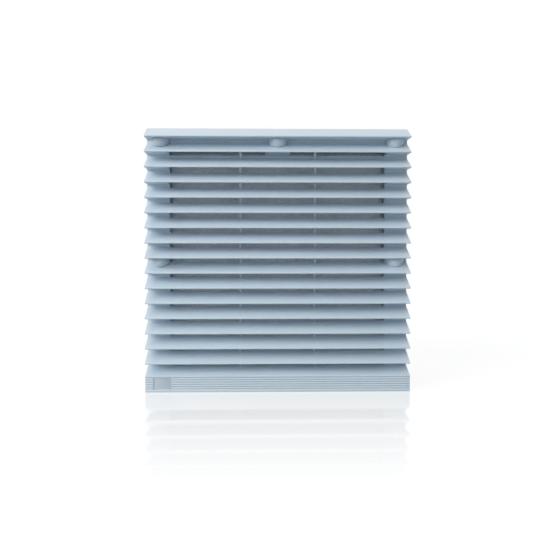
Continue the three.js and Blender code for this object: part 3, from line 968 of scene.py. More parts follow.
def make_cover():
    sizes = cover_sizes()
    half, skin, cheek = COVER_HIGH.x, sizes.skin, sizes.open_half
    cover = prism_object(rounded(front_corners(COVER_HIGH.y)), [(-half, half)], 0.6 * sizes.edge)
    carve(cover, prism_object(hollow_corners(), [
        (skin - half, -cheek - skin), (-cheek, cheek), (cheek + skin, half - skin)]))
    carve(cover, block_object((skin - half, -sizes.cheek_back, COVER_LOW.z + skin),
                              (half - skin, 12 * MM, COVER_HIGH.z - skin)))

    openings = bmesh.new()
    prism(openings, slat_opening(1, slat_rear(2) + sizes.upstand), -cheek, cheek)
    for row in range(2, sizes.slat_count):
        prism(openings, slat_opening(row, slat_rear(row + 1)), -cheek, cheek)
    carve(cover, new_object("openings", openings))

    spans = [(x - sizes.rib_width / 2, x + sizes.rib_width / 2)
             for x in (-sizes.rib_place, sizes.rib_place)]
    carve(cover, prism_object(rib_corners(), spans), "UNION")

    extras = bmesh.new()
    block(extras, (-15.5 * MM, wall_y() + skin - 0.3 * MM, slat_rear(2) - MM),
          (15.5 * MM, -1.5 * MM, cheek))
    tongue_back = -3.2 * MM
    for x in (-TONGUE_X, TONGUE_X):
        for z, front in ((TONGUE_Z, -21 * MM), (-TONGUE_Z, -30 * MM)):
            block(extras, (x - 6 * MM, front, z - MM), (x + 6 * MM, tongue_back, z + MM))
    carve(cover, new_object("extras", extras), "UNION")

    for x, rear in cap_places():
        flat = rear - sizes.slat_drop - sizes.lip_height
        carve(cover, flat_top_bar(x, rear - sizes.well_drop, sizes.well_radius,
                                  -22 * MM, wall_y() + skin + 0.1 * MM, flat))
    gap = 0.15 * MM
    carve(cover, block_object(
        (BADGE_LOW.x - 2 * gap, COVER_LOW.y, BADGE_LOW.z - gap),
        (BADGE_HIGH.x + gap, BADGE_HIGH.y + gap, BADGE_HIGH.z + gap)))
    carve(cover, chamfer_tool(BADGE_HIGH.x + gap, COVER_LOW.y, 1.5 * MM, 0.9 * MM,
                              BADGE_LOW.z - gap, BADGE_HIGH.z + gap))
    finish_piece(cover, "cover_moulding", "cover", "cover_plastic", ["louvre_cover"])


def make_badge():
    """A blank inlay with a slightly raised rim."""
    radius, rim = 0.8 * MM, 0.9 * MM
    outer = rectangle(BADGE_LOW.x, BADGE_HIGH.x, BADGE_LOW.z, BADGE_HIGH.z, radius)
    inner = rectangle(BADGE_LOW.x + rim, BADGE_HIGH.x - rim, BADGE_LOW.z + rim,
                      BADGE_HIGH.z - rim, radius)
    field = plate([outer], BADGE_LOW.y + 0.25 * MM, BADGE_HIGH.y, 0.15 * MM)
    border = plate([outer, inner], BADGE_LOW.y, BADGE_HIGH.y - 0.05 * MM, 0.12 * MM)
    finish_piece(join("badge", [field, border]), "badge_blank", "cover", "badge_plastic",
                 ["badge_inlay"])


def make_caps():
    """Domed caps, cut flat under the slat above and along the slope of the slat below."""
    sizes = cover_sizes()
    gap, wide, steps = 0.3 * MM, 20 * MM, 14
    back = wall_y() - gap
    for name, (x, rear) in zip(CAPS, cap_places()):
        profile = [(0.0, back)]
        for step in range(steps + 1):
            angle = step / steps * math.pi / 2
            profile.append((sizes.cap_radius * math.cos(angle),
                            back - sizes.cap_reach * math.sin(angle)))
        profile[-1] = (0.0, profile[-1][1])
        cap = shifted(turned(profile, 72), x, 0, rear - sizes.cap_drop)
        flat = rear - sizes.slat_drop - sizes.lip_height - gap
        stem = sizes.well_radius - gap
        low = rear - sizes.slat_pitch + 1.2 * gap
        reach, past, core_front = 30 * MM, 60 * MM, -21.7 * MM
        below = prism_object([Vector(c) for c in (
            (wall_y() + MM, low), (wall_y(), low), (wall_y() - reach, low - reach * slat_slope()),
            (wall_y() - reach, low - past), (wall_y() + MM, low - past))],
            [(x - wide, x + wide)])
        carve(below, flat_top_bar(x, rear - sizes.well_drop, stem, core_front, 5 * MM, flat))
        carve(cap, below)
        carve(cap, block_object((x - wide, -50 * MM, flat), (x + wide, 0, flat + reach)))
        carve(cap, flat_top_bar(x, rear - sizes.well_drop, stem, wall_y() - MM,
                                wall_y() + sizes.skin - gap, flat), "UNION")
        bore = turned(rod(stem - 1.4 * MM, 0.0, 10 * MM), 48)
        carve(cap, shifted(bore, x, wall_y() - 4 * MM, rear - sizes.well_drop))
        number = number_of(name)
        finish_piece(soften(cap, 0.3 * MM, 38.0), f"cap_dome_{number}", f"cap_{number}",
                     "cap_plastic", [name], degrees=40.0)


# ---- mat, grid, frame, gasket and clips ----

def fleece_slab(sizes):
    """A soft slab with rolled edges, whose faces rise and fall."""
    cells, roll_width, roll_share = 130, 5 * MM, 0.25
    lump_scale, tuft_scale = 60, 210
    size = MAT_HIGH.x - MAT_LOW.x
    depth = MAT_HIGH.y - MAT_LOW.y
    shape = bmesh.new()
    sheets = []
    for y, side in ((MAT_LOW.y, 1), (MAT_HIGH.y, -1)):
        rows = []
        for j in range(cells + 1):
            row = []
            for i in range(cells + 1):
                x = MAT_LOW.x + size * i / cells
                z = MAT_LOW.z + size * j / cells
                from_edge = min(i, j, cells - i, cells - j) * size / cells
                edge = max(0.0, 1 - from_edge / roll_width)
                roll = roll_share * depth * edge ** 2
                lumps = noise.noise(Vector((x, side, z)) * lump_scale) * 0.6
                tufts = noise.noise(Vector((x, side * 3, z)) * tuft_scale) * 0.4
                rise = sizes.swell * (0.5 + lumps + tufts) * 0.5
                row.append(shape.verts.new((x, y + side * (roll + max(0.0, rise)), z)))
            rows.append(row)
        sheets.append(rows)
    for rows in sheets:
        for j in range(cells):
            for i in range(cells):
                shape.faces.new((rows[j][i], rows[j][i + 1], rows[j + 1][i + 1], rows[j + 1][i]))
    rims = []
    for rows in sheets:
        rim = rows[0] + [row[-1] for row in rows[1:-1]] + rows[-1][::-1]
        rims.append(rim + [row[0] for row in rows[-2:0:-1]])
    skin_rings(shape, rims)
    slab = new_object("fleece", shape)
    slab.data.materials.append(material("filter_fleece"))
    return slab


def loose_fibres(sizes):
    """Bowed fibres strewn over the front face."""
    recipe = Recipe("loose fibres")
    density = recipe.ask("Density", "NodeSocketFloat", sizes.fibre_density)
    reach = recipe.ask("Fibre length", "NodeSocketFloat", sizes.fibre_length)
    radius = recipe.ask("Fibre radius", "NodeSocketFloat", sizes.fibre_radius)
    spots = recipe.node("GeometryNodeDistributePointsOnFaces", {}, {
        "Mesh": recipe.given.outputs[0], "Density": density, "Seed": 5})
    half = recipe.reckon("MULTIPLY", reach, 0.5)
    bow = recipe.reckon("MULTIPLY", reach, 0.28)
    start = recipe.node("ShaderNodeCombineXYZ", {}, {"X": recipe.reckon("MULTIPLY", half, -1.0)})
    top = recipe.node("ShaderNodeCombineXYZ", {}, {"Z": bow})
    end = recipe.node("ShaderNodeCombineXYZ", {}, {"X": half})
    strand = recipe.node("GeometryNodeCurveQuadraticBezier", {}, {
        "Resolution": 5, "Start": start.outputs[0], "Middle": top.outputs[0],
        "End": end.outputs[0]})
    turn = recipe.node("FunctionNodeRandomValue", {"data_type": "FLOAT_VECTOR"}, {
        0: (-0.06, -3.14, -0.06), 1: (0.06, 3.14, 0.06), "Seed": 3})
    grow = recipe.node("FunctionNodeRandomValue", {"data_type": "FLOAT_VECTOR"}, {
        0: (0.35, 1.0, -1.2), 1: (1.1, 1.0, 1.2), "Seed": 8})
    spread = recipe.node("GeometryNodeInstanceOnPoints", {}, {
        "Points": spots.outputs[0], "Instance": strand.outputs[0],
        "Rotation": turn.outputs[0], "Scale": grow.outputs[0]})
    real = recipe.node("GeometryNodeRealizeInstances", {}, {"Geometry": spread.outputs[0]})
    section = recipe.node("GeometryNodeCurvePrimitiveCircle", {}, {"Resolution": 3, "Radius": radius})
    wires = recipe.node("GeometryNodeCurveToMesh", {}, {
        "Curve": real.outputs[0], "Profile Curve": section.outputs[0], "Fill Caps": True})
    face = bmesh.new()
    inside = 9 * MM
    corners = [(MAT_LOW.x + inside, MAT_LOW.z + inside), (MAT_HIGH.x - inside, MAT_LOW.z + inside),
               (MAT_HIGH.x - inside, MAT_HIGH.z - inside), (MAT_LOW.x + inside, MAT_HIGH.z - inside)]
    face.faces.new([face.verts.new((x, MAT_LOW.y + 0.25 * MM, z)) for x, z in corners])
    return recipe.run(wires.outputs[0], "fleece_fibre", "fibres", start=new_object("face", face))


def make_mat():
    """The fleece slab and its fibres as one padded piece with two finishes."""
    sizes = bpy.context.scene.filter_fan_mat
    slab = fleece_slab(sizes)
    fibres = loose_fibres(sizes)
    shaded(fibres.data, 80)
    shaded(slab.data, 80)
    joined = bmesh.new()
    joined.from_mesh(slab.data)
    count = len(joined.faces)
    joined.from_mesh(fibres.data)
    joined.faces.ensure_lookup_table()
    for index in range(count, len(joined.faces)):
        joined.faces[index].material_index = 1
    joined.to_mesh(slab.data)
    joined.free()
    slab.data.materials.append(material("fleece_fibre"))
    discard(fibres)
    finish_piece(slab, "filter_fleece", "mat", "filter_fleece", ["filter_mat"], degrees=80)


def make_grid():
    cells, bar, rim = 6, 2.6 * MM, 8 * MM
    half = GRID_HIGH.x
    spacing = (2 * half - 2 * rim + bar) / cells
    loops = [square(half, 2 * MM)]
    for column in range(cells):
        for row in range(cells):
            x = -half + rim + column * spacing
            z = -half + rim + row * spacing
            side = spacing - bar
            loops.append(rectangle(x, x + side, z, z + side, 1.5 * MM))
    finish_piece(plate(loops, GRID_LOW.y, GRID_HIGH.y, 0.4 * MM), "mat_carrier", "frame",
                 "frame_plastic", ["mat_grid"])


def make_frame():
    sizes = fan_sizes()
    flange, collar, inner = FLANGE_HIGH.x, 137 * MM, 134.5 * MM
    loops = [square(flange, 3 * MM), square(inner, MM)]
    loops += holes_at(PANEL_SCREWS, 2.3 * MM)
    for x in (-TONGUE_X, TONGUE_X):
        for z in (-TONGUE_Z, TONGUE_Z):
            loops.append(rectangle(x - 6.5 * MM, x + 6.5 * MM, z - 1.5 * MM, z + 1.5 * MM, 0.5 * MM))
    back = FLANGE_HIGH.y
    parts = [plate(loops, FLANGE_LOW.y, FLANGE_LOW.y + 3 * MM, 0.35 * MM)]
    parts.append(plate([square(collar, 2.5 * MM), square(inner, MM)],
                       FLANGE_LOW.y + 0.5 * MM, back, 0.5 * MM))
    parts.append(plate([square(inner + MM, MM), square(inner - 4 * MM, 2 * MM)],
                       GRID_HIGH.y + 0.5 * MM, GRID_HIGH.y + 2.5 * MM, 0.3 * MM))
    loops = [square(inner + MM, MM), circle(0, 0, sizes.duct_radius, 128)]
    loops += holes_at(FAN_SCREWS, 2.3 * MM)
    parts.append(plate(loops, back - 3 * MM, back - 0.02 * MM, 0.3 * MM))
    finish_piece(join("frame", parts), "panel_frame", "frame", "frame_plastic", ["base_frame"])


def make_gasket():
    loops = [square(GASKET_HIGH.x, 3 * MM), square(138 * MM, 2 * MM)]
    loops += holes_at(PANEL_SCREWS, 2.6 * MM, 16)
    finish_piece(plate(loops, GASKET_LOW.y, GASKET_HIGH.y, 0.4 * MM), "foam_seal", "frame",
                 "gasket_foam", ["panel_gasket"])


def make_clips():
    thick = 0.8 * MM
    for name in CLIPS:
        low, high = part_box(name)
        side = 1 if high.z > 0 else -1
        root = low.z if side > 0 else -high.z
        tip = (high.z if side > 0 else -low.z) - thick
        line = [(high.y, root), (high.y - 2 * MM, root), (low.y, tip), (low.y, tip + thick),
                (high.y - 1.8 * MM, root + thick), (high.y, root + thick)]
        corners = [(y, side * z, 0.3 * MM) for y, z in line]
        clip = prism_object(rounded(corners, 2), [(low.x, high.x)], 0.3 * MM)
        number = number_of(name)
        finish_piece(clip, f"spring_clip_{number}", f"clip_{number}", "clip_steel", [name])


# ---- screws ----

def pan_screw(head_radius, radius, head, reach, thread_pitch):
    """A pan-head screw along +Y with a cross recess and a thread, its head's seat at y = 0."""
    corners = [Vector((0.0, -head))]
    rise = 6
    for step in range(rise + 1):
        angle = step / rise * math.pi / 2
        corners.append(Vector((head_radius * (0.55 + 0.45 * math.sin(angle)),
                               -head + head * 0.55 * (1 - math.cos(angle)))))
    corners += [Vector((head_radius, 0.0)), Vector((radius * 0.8, 0.0))]
    turns = int((reach - MM) / thread_pitch)
    for turn in range(turns):
        y = 0.4 * MM + turn * thread_pitch
        corners += [Vector((radius * 0.8, y)), Vector((radius, y + thread_pitch * 0.45)),
                    Vector((radius * 0.8, y + thread_pitch * 0.9))]
    corners += [Vector((radius * 0.7, reach - 0.3 * MM)), Vector((0.0, reach))]
    screw = turned([(c.x, c.y) for c in corners], 24)
    wide, deep = head_radius * 0.52, head * 0.6
    arm = head_radius * 0.13
    for across, up in ((wide, arm), (arm, wide)):
        carve(screw, block_object((-across, -head - MM, -up), (across, -head + deep, up)))
    return screw


def make_screws():
    """Each group of like screws, from a table of their sizes, looks and directions."""
    # (piece, nodes, head radius, shank radius, thread pitch, look,
    #  axis of its length, head at the high end, turn and the turn's axis)
    groups = (
        ("panel_screws", PANEL_SCREWS, 4.0, 2.0, 1.4, "screw_steel", 1, False, 0.0, "Z"),
        ("fan_screws", FAN_SCREWS, 3.6, 2.0, 0.9, "screw_steel", 1, False, 0.0, "Z"),
        ("guard_screws", GUARD_SCREWS, 5.2, 2.0, 0.9, "screw_steel", 1, True, math.pi, "Z"),
        ("terminal_screws", TERMINAL_SCREWS, 2.6, 1.5, 0.7, "terminal_brass", 2, True,
         -math.pi / 2, "X"),
    )
    head = 2.4 * MM
    for name, nodes, head_radius, radius, pitch, look, along, at_high, angle, axis in groups:
        low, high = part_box(nodes[0])
        reach = high[along] - low[along] - head
        screw = pan_screw(head_radius * MM, radius * MM, head, reach, pitch * MM)
        screw.data.transform(Matrix.Rotation(angle, 4, axis))
        places = [[*middle(node)] for node in nodes]
        for place in places:
            place[along] = high[along] - head if at_high else low[along] + head
        finish_piece(copies_at(screw, places, look, name), name, "frame", look, nodes)


# ---- fan ----

def make_housing():
    """Square flanges on a round duct, with a motor mount on four struts."""
    sizes = fan_sizes()
    front, back, half = HOUSING_LOW.y, HOUSING_HIGH.y, HOUSING_HIGH.x
    bore, outer = sizes.duct_radius, sizes.duct_radius + sizes.duct_wall
    loops = [square(half, sizes.corner), circle(0, 0, bore, 144)]
    loops += holes_at(FAN_SCREWS, 2.3 * MM)
    parts = [plate(loops, front, front + sizes.flange, 0.7 * MM),
             plate(loops, back - sizes.flange, back, 0.7 * MM)]
    lip = 0.4
    parts.append(turned_round([
        (bore / MM, front / MM + 0.3, lip), (outer / MM, front / MM + 0.3, lip),
        (outer / MM, back / MM - 0.3, lip), (bore / MM, back / MM - 0.3, lip)], 144, 2))
    for node in FAN_SCREWS:
        for y0, y1 in ((front + sizes.flange - 0.5 * MM, front + 14 * MM),
                       (back - 14 * MM, back - sizes.flange + 0.5 * MM)):
            boss = turned_round([(2.3, y0 / MM, 0), (6.2, y0 / MM, 0), (5.4, y1 / MM, 0.5),
                                 (2.3, y1 / MM, 0)], 32, 2)
            parts.append(shifted(boss, middle(node).x, 0, middle(node).z))
    mount_back = TUBE_HIGH.y - 2.3 * MM
    mount_front = mount_back - 7 * MM
    deep, shallow = mount_front / MM, mount_back / MM
    disc = turned_round([
        (14.3, deep, 0.4), (44, deep, 0.8), (44, shallow, 1.2), (39, shallow, 0.4),
        (38, shallow - 1.2, 0.4), (26, shallow - 1.2, 0.4), (25, shallow, 0.4),
        (14.3, shallow, 0.4)], 96, 2)
    carve(disc, shifted(turned(rod(3 * MM, 0.0, 30 * MM), 24), 0, mount_front - 5 * MM, 30 * MM))
    parts.append(disc)
    strut = prism_object(rounded([
        (mount_front, 42 * MM, 0), (mount_front + 1.5 * MM, bore + MM, 0),
        (mount_back, bore + MM, 0), (mount_back, 42 * MM, 0)]), [(-4 * MM, 4 * MM)], 0.8 * MM)
    parts.append(ring_of_copies(strut, 4, "housing_metal", "struts"))
    pad = block_object((-20 * MM, 58 * MM, 96 * MM), (32 * MM, 104 * MM, 108 * MM))
    carve(pad, turned(rod(bore + MM, 50 * MM, 110 * MM), 144))
    carve(pad, block_object((-2.1 * MM, 80 * MM, 104.3 * MM), (2.1 * MM, 110 * MM, 109 * MM)))
    parts.append(soften(pad, 0.5 * MM))
    finish_piece(join("housing", parts), "fan_casing", "frame", "housing_metal",
                 ["fan_housing"])


def blade_mesh():
    """One blade as a closed skin of sections from the hub to the tip."""
    sizes = fan_sizes()
    root = sizes.hub_radius - 1.5 * MM
    spans, stations = 14, 16
    chord, axial, camber, thick = 40 * MM, 42 * MM, 5 * MM, 2.4 * MM
    middle_y = 67 * MM
    shape = bmesh.new()
    rings = []
    for span in range(spans + 1):
        share = span / spans
        radius = root + (sizes.blade_tip - root) * share
        widen = 0.75 + 0.6 * share
        tip = math.sqrt(max(0.0, 1 - max(0.0, (share - 0.93) / 0.07) ** 2))
        ring = []
        for side in (1, -1):
            order = range(stations + 1) if side > 0 else range(stations - 1, 0, -1)
            for station in order:
                s = station / stations
                across = chord * (s - 0.5) + camber * math.sin(math.pi * s)
                along = axial * (s - 0.5)
                nose = math.sqrt(max(0.0, math.sin(math.pi * s)))
                half = thick * (0.12 + 0.88 * nose) / 2 * max(0.25, tip)
                turn = (across - side * half) * widen / radius
                ring.append(shape.verts.new((radius * math.sin(turn),
                                             middle_y + along + side * half,
                                             radius * math.cos(turn))))
        rings.append(ring)
    skin_rings(shape, rings)
    shape.faces.new(rings[0])
    shape.faces.new(list(reversed(rings[-1])))
    return new_object("blade", shape)


def make_impeller():
    sizes = fan_sizes()
    hub = sizes.hub_radius / MM
    inner = hub - 3.2
    shell = turned_round([
        (0, 40, 0), (14, 40, 0.6), (16, 41, 0.6), (34, 41, 0.6), (36, 40, 0.6),
        (hub, 40, 5), (hub, 94, 0.8), (inner, 94, 0.5), (inner, 43.2, 1), (0, 43.2, 0)], 128)
    blades = ring_of_copies(blade_mesh(), sizes.blade_count, "impeller_plastic", "blades")
    finish_piece(join("impeller", [shell, blades]), "fan_wheel", "rotor", "impeller_plastic",
                 ["impeller"])


def make_motor():
    """The turned pieces of the motor, from the frame's own places."""
    tube_back = TUBE_HIGH.y / MM
    seat = tube_back - 2
    pieces = {
        "rotor_bell": ("rotor_cup", "rotor", "rotor_steel", [
            (0, 43.5, 0), (48.5, 43.5, 2.5), (48.5, 93, 0.3), (46.5, 93, 0.3),
            (46.5, 45.5, 1.2), (0, 45.5, 0)]),
        "rotor_ring": ("rotor_core", "rotor", "lamination_steel", [
            (38.2, 50, 0.3), (46.2, 50, 0.3), (46.2, 88, 0.3), (38.2, 88, 0.3)]),
        "rotor_axle": ("rotor_shaft", "rotor", "shaft_steel", [
            (0, 45.8, 0), (4, 45.8, 0.5), (4, 101.8, 0.1), (3.6, 101.9, 0.1), (3.6, 103, 0.1),
            (3.9, 103.1, 0.1), (3.9, 103.6, 0.2), (0, 103.6, 0)]),
        "bearing_sleeve": ("bearing_tube", "frame", "tube_aluminium", [
            (11.3, 47.5, 0.3), (14, 47.5, 0.3), (14, seat, 0.2), (20, seat, 0.4),
            (20, tube_back, 0.5), (16.5, tube_back, 0.2), (16, tube_back - 0.5, 0.2),
            (13.5, tube_back - 0.5, 0.2), (13, tube_back, 0.2), (11.3, tube_back, 0.3)]),
    }
    for name, (node, body, look, corners) in pieces.items():
        finish_piece(turned_round(corners, 96), name, body, look, [node])
    for name, node in (("front_bearing", "bearing_front"), ("rear_bearing", "bearing_rear")):
        low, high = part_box(node)
        y0, y1 = low.y / MM, high.y / MM
        races = [turned_round([(8.6, y0, 0.3), (11, y0, 0.4), (11, y1, 0.4), (8.6, y1, 0.3)], 72),
                 turned_round([(4.3, y0, 0.3), (6.2, y0, 0.3), (6.2, y1, 0.3), (4.3, y1, 0.3)], 72),
                 turned_round([(6.0, y0 + 0.5, 0), (8.8, y0 + 0.5, 0), (8.8, y1 - 0.5, 0),
                               (6.0, y1 - 0.5, 0)], 72)]
        finish_piece(join("bearing", races), name, "frame", "bearing_steel", [node])


def make_windings():
    """Coil heads: bundles of wire bowed over the teeth, side by side round the stack."""
    for name, node, outward in (("front_coils", "winding_front", -1), ("rear_coils", "winding_rear", 1)):
        low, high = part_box(node)
        seat = high.y if outward < 0 else low.y
        rise = (high.y - low.y) - 1.2 * MM
        parts = []
        for layer in range(4):
            swell = layer * 1.9 * MM
            points = []
            for step in range(9):
                share = step / 8
                angle = (share - 0.5) * math.radians(58 - layer * 6)
                bow = math.sin(math.pi * share)
                radius = 21.5 * MM + swell + bow * 4.5 * MM
                points.append((radius * math.sin(angle),
                               seat + outward * (0.8 * MM + (rise - layer * 0.9 * MM) * bow * 0.85),
                               radius * math.cos(angle)))
            parts.append(tube(points, 1.3 * MM, 8))
        coil = join("coil", parts)
        made = ring_of_copies(coil, 12, "winding_copper", name)
        finish_piece(made, name, "frame", "winding_copper", [node], degrees=60)


def make_guard():
    """Round wire rings welded to four spokes that end in eyes round the screws."""
    sizes = fan_sizes()
    spoke_y = HOUSING_HIGH.y + 2 * MM
    ring_y = spoke_y + 2.1 * MM
    recipe = Recipe("guard rings")
    count = recipe.ask("Rings", "NodeSocketInt", sizes.guard_rings)
    first = recipe.ask("First radius", "NodeSocketFloat", sizes.guard_first)
    step = recipe.ask("Step", "NodeSocketFloat", sizes.guard_step)
    wire = recipe.ask("Wire radius", "NodeSocketFloat", sizes.guard_wire)
    hoop = recipe.node("GeometryNodeCurvePrimitiveCircle", {}, {"Resolution": 96, "Radius": 1.0})
    one = recipe.node("GeometryNodeGeometryToInstance", {}, {0: hoop.outputs[0]})
    many = recipe.node("GeometryNodeDuplicateElements", {"domain": "INSTANCE"}, {
        "Geometry": one.outputs[0], "Amount": count})
    radius = recipe.reckon("ADD", first, recipe.reckon(
        "MULTIPLY", many.outputs["Duplicate Index"], step))
    scale = recipe.node("ShaderNodeCombineXYZ", {}, {"X": radius, "Y": radius, "Z": 1.0})
    grown = recipe.node("GeometryNodeScaleInstances", {}, {
        "Instances": many.outputs[0], "Scale": scale.outputs[0]})
    real = recipe.node("GeometryNodeRealizeInstances", {}, {"Geometry": grown.outputs[0]})
    section = recipe.node("GeometryNodeCurvePrimitiveCircle", {}, {"Resolution": 10, "Radius": wire})
    wires = recipe.node("GeometryNodeCurveToMesh", {}, {
        "Curve": real.outputs[0], "Profile Curve": section.outputs[0]})
    rings = recipe.run(wires.outputs[0], "guard_chrome", "rings")
    rings.data.transform(Matrix.Translation((0, ring_y, 0)) @ Matrix.Rotation(math.pi / 2, 4, "X"))
    eye, thick = 3.8 * MM, 1.3
    corner = middle(FAN_SCREWS[0])
    corner_reach = math.hypot(corner.x, corner.z)
    spoke = tube([(0, spoke_y, 16 * MM), (0, spoke_y, 60 * MM),
                  (0, spoke_y, corner_reach - eye)], 1.4 * MM, 12)
    spoke.data.transform(Matrix.Rotation(math.pi / 4, 4, "Y"))
    signs = ((-1, -1), (1, -1), (1, 1), (-1, 1))
    loop = turned_round([(eye / MM + across * thick, spoke_y / MM + along * thick, 1.2)
                         for across, along in signs], 40, 4)
    offset = corner_reach / math.sqrt(2)
    shifted(loop, offset, 0, offset)
    arms = ring_of_copies(join("arm", [spoke, loop]), 4, "guard_chrome", "arms")
    finish_piece(join("guard", [rings, arms]), "wire_guard", "frame", "guard_chrome",
                 ["finger_guard"], degrees=60)


def make_terminals():
    shapes = (("terminal_body", "terminal_block", "frame", "terminal_plastic", 0.35),
              ("terminal_hood", "terminal_cover", "terminal_lid", "terminal_plastic", 0.5),
              ("earth_blade", "earth_tab", "frame", "terminal_brass", 0.15),
              ("shaft_clip", "shaft_circlip", "rotor", "shaft_steel", 0.1))
    for name, node, body, look, width in shapes:
        finish_piece(softened_node(node, width * MM), name, body, look, [node])
    route = [(92.4, 30), (99, 30), (104.6, 30.4), (106.8, 33), (106.8, 42), (106.8, 72),
             (106.8, 98), (106.6, 104), (103.6, 106.1), (98, 106.3), (86.5, 106.3)]
    lead = tube([(0, y * MM, z * MM) for y, z in route], 1.4 * MM, 12)
    finish_piece(lead, "motor_wire", "frame", "lead_rubber", ["motor_lead"], degrees=60)


def dress_frame():
    """Finishes of the frame nodes that stay as they are."""
    slots = {part["node"]: part["material_slot"] for part in frame["record"]["subparts"]}
    for node, made in frame["nodes"].items():
        if made.hide_render:
            continue
        made.data.materials.clear()
        made.data.materials.append(material(slots[node]))


# ---- stage ----

def soft_sun(name, place, power, spread):
    """A broad even light from the direction of a place."""
    data = bpy.data.lights.new(name, "SUN")
    data.energy = power
    data.angle = math.radians(spread)
    lamp = in_scene(name, data)
    lamp.location = place
    lamp.rotation_mode = "QUATERNION"
    lamp.rotation_quaternion = (-lamp.location).to_track_quat("-Z", "Y")


def by_ray(tree, lighting, seen):
    """Mixes two shaders: what lights the object, and what is seen or mirrored."""
    path = add_node(tree, "ShaderNodeLightPath", {}, {})
    straight = add_node(tree, "ShaderNodeMath", {"operation": "MAXIMUM"}, {
        0: path.outputs["Is Camera Ray"], 1: path.outputs["Is Glossy Ray"]})
    return add_node(tree, "ShaderNodeMixShader", {}, {
        0: straight.outputs[0], 1: lighting, 2: seen}).outputs[0]


def make_sky():
    """Even light from all sides, stronger overhead, in front of a white backdrop."""
    world = bpy.data.worlds.new("studio")
    world.use_nodes = True
    tree = world.node_tree
    place = add_node(tree, "ShaderNodeTexCoord", {}, {})
    split = add_node(tree, "ShaderNodeSeparateXYZ", {}, {0: place.outputs["Generated"]})
    power = add_node(tree, "ShaderNodeMapRange", {}, {
        "Value": split.outputs["Z"], "To Min": SKY_AT_HORIZON, "To Max": SKY_OVERHEAD})
    sky = tree.nodes["Background"]
    feed(tree, sky.inputs["Color"], SKY_COLOUR)
    feed(tree, sky.inputs["Strength"], power.outputs[0])
    backdrop = add_node(tree, "ShaderNodeBackground", {}, {"Color": WHITE})
    shown = by_ray(tree, sky.outputs[0], backdrop.outputs[0])
    feed(tree, tree.nodes["World Output"].inputs[0], shown)
    bpy.context.scene.world = world


def make_floor():
    """A pale floor that mirrors faintly near the object."""
    half = FLOOR_HALF
    shape = bmesh.new()
    corners = [(-half, -half), (half, -half), (half, half), (-half, half)]
    shape.faces.new([shape.verts.new((x, y, COVER_LOW.z)) for x, y in corners])
    floor = new_object("studio_floor", shape)
    paper = Finish("studio_paper", (0.2, 0.2, 0.2), 0.6)
    paper.drive("Specular IOR Level", 0.0)
    paper.drive("Emission Color", WHITE)
    paper.drive("Emission Strength", FLOOR_GLOW)
    polish = paper.node("ShaderNodeBsdfAnisotropic", {}, {"Color": WHITE, "Roughness": 0.02})
    near = paper.ramp(paper.distance_outside(*CAD_BOX), MIRROR_REACH, 0.0)
    glazed = paper.node("ShaderNodeMixShader", {}, {
        0: near * MIRROR_SHARE, 1: paper.shader.outputs[0], 2: polish.outputs[0]})
    dull = paper.node("ShaderNodeBsdfDiffuse", {}, {
        "Color": (FLOOR_BOUNCE, FLOOR_BOUNCE, FLOOR_BOUNCE, 1.0)})
    shown = by_ray(paper.tree, dull.outputs[0], glazed.outputs[0])
    feed(paper.tree, paper.tree.nodes["Material Output"].inputs[0], shown)
    floor.data.materials.append(paper.material)


def make_camera():
    data = bpy.data.cameras.new("camera")
    data.sensor_width = 36.0
    data.lens = CAMERA_LENS
    camera = in_scene("camera", data)
    camera.location = (CAMERA_X, COVER_LOW.y - CAMERA_DISTANCE, CAMERA_Z)
    camera.rotation_euler = (math.pi / 2 - math.radians(CAMERA_PITCH), 0.0,
                             -math.radians(CAMERA_YAW))
    bpy.context.scene.camera = camera


def make_stage():
    bpy.context.scene.view_settings.view_transform = "Standard"
    make_sky()
    make_floor()
    for sun in SUNS:
        soft_sun(*sun)
    make_camera()


# ---- operators ----

class FILTERFAN_OT_stage(bpy.types.Operator):
    """Makes the floor, the lights and the camera"""

    bl_idname = "filterfan.stage"
    bl_label = "Stage"

    def execute(self, context):
        make_stage()
        return {"FINISHED"}


class FILTERFAN_OT_cover(bpy.types.Operator):
    """Makes the moulded cover with its slats"""

    bl_idname = "filterfan.cover"
    bl_label = "Louvre cover"

    def execute(self, context):
        make_cover()
        return {"FINISHED"}


class FILTERFAN_OT_badge(bpy.types.Operator):
    """Makes the blank badge"""

    bl_idname = "filterfan.badge"
    bl_label = "Badge"

    def execute(self, context):
        make_badge()
        return {"FINISHED"}


class FILTERFAN_OT_caps(bpy.types.Operator):
    """Makes the domed screw caps"""

    bl_idname = "filterfan.caps"
    bl_label = "Screw caps"

    def execute(self, context):
        make_caps()
        return {"FINISHED"}


class FILTERFAN_OT_mat(bpy.types.Operator):
    """Makes the fleece and its loose fibres"""

    bl_idname = "filterfan.mat"
    bl_label = "Filter mat"

    def execute(self, context):
        make_mat()
        return {"FINISHED"}


class FILTERFAN_OT_grid(bpy.types.Operator):
    """Makes the grid that carries the mat"""

    bl_idname = "filterfan.grid"
    bl_label = "Mat grid"

    def execute(self, context):
        make_grid()
        return {"FINISHED"}


class FILTERFAN_OT_base(bpy.types.Operator):
    """Makes the frame that holds everything"""

    bl_idname = "filterfan.base"
    bl_label = "Panel frame"

    def execute(self, context):
        make_frame()
        return {"FINISHED"}


class FILTERFAN_OT_gasket(bpy.types.Operator):
    """Makes the foam seal"""

    bl_idname = "filterfan.gasket"
    bl_label = "Gasket"

    def execute(self, context):
        make_gasket()
        return {"FINISHED"}


class FILTERFAN_OT_clips(bpy.types.Operator):
    """Makes the spring clips"""

    bl_idname = "filterfan.clips"
    bl_label = "Panel clips"

    def execute(self, context):
        make_clips()
        return {"FINISHED"}


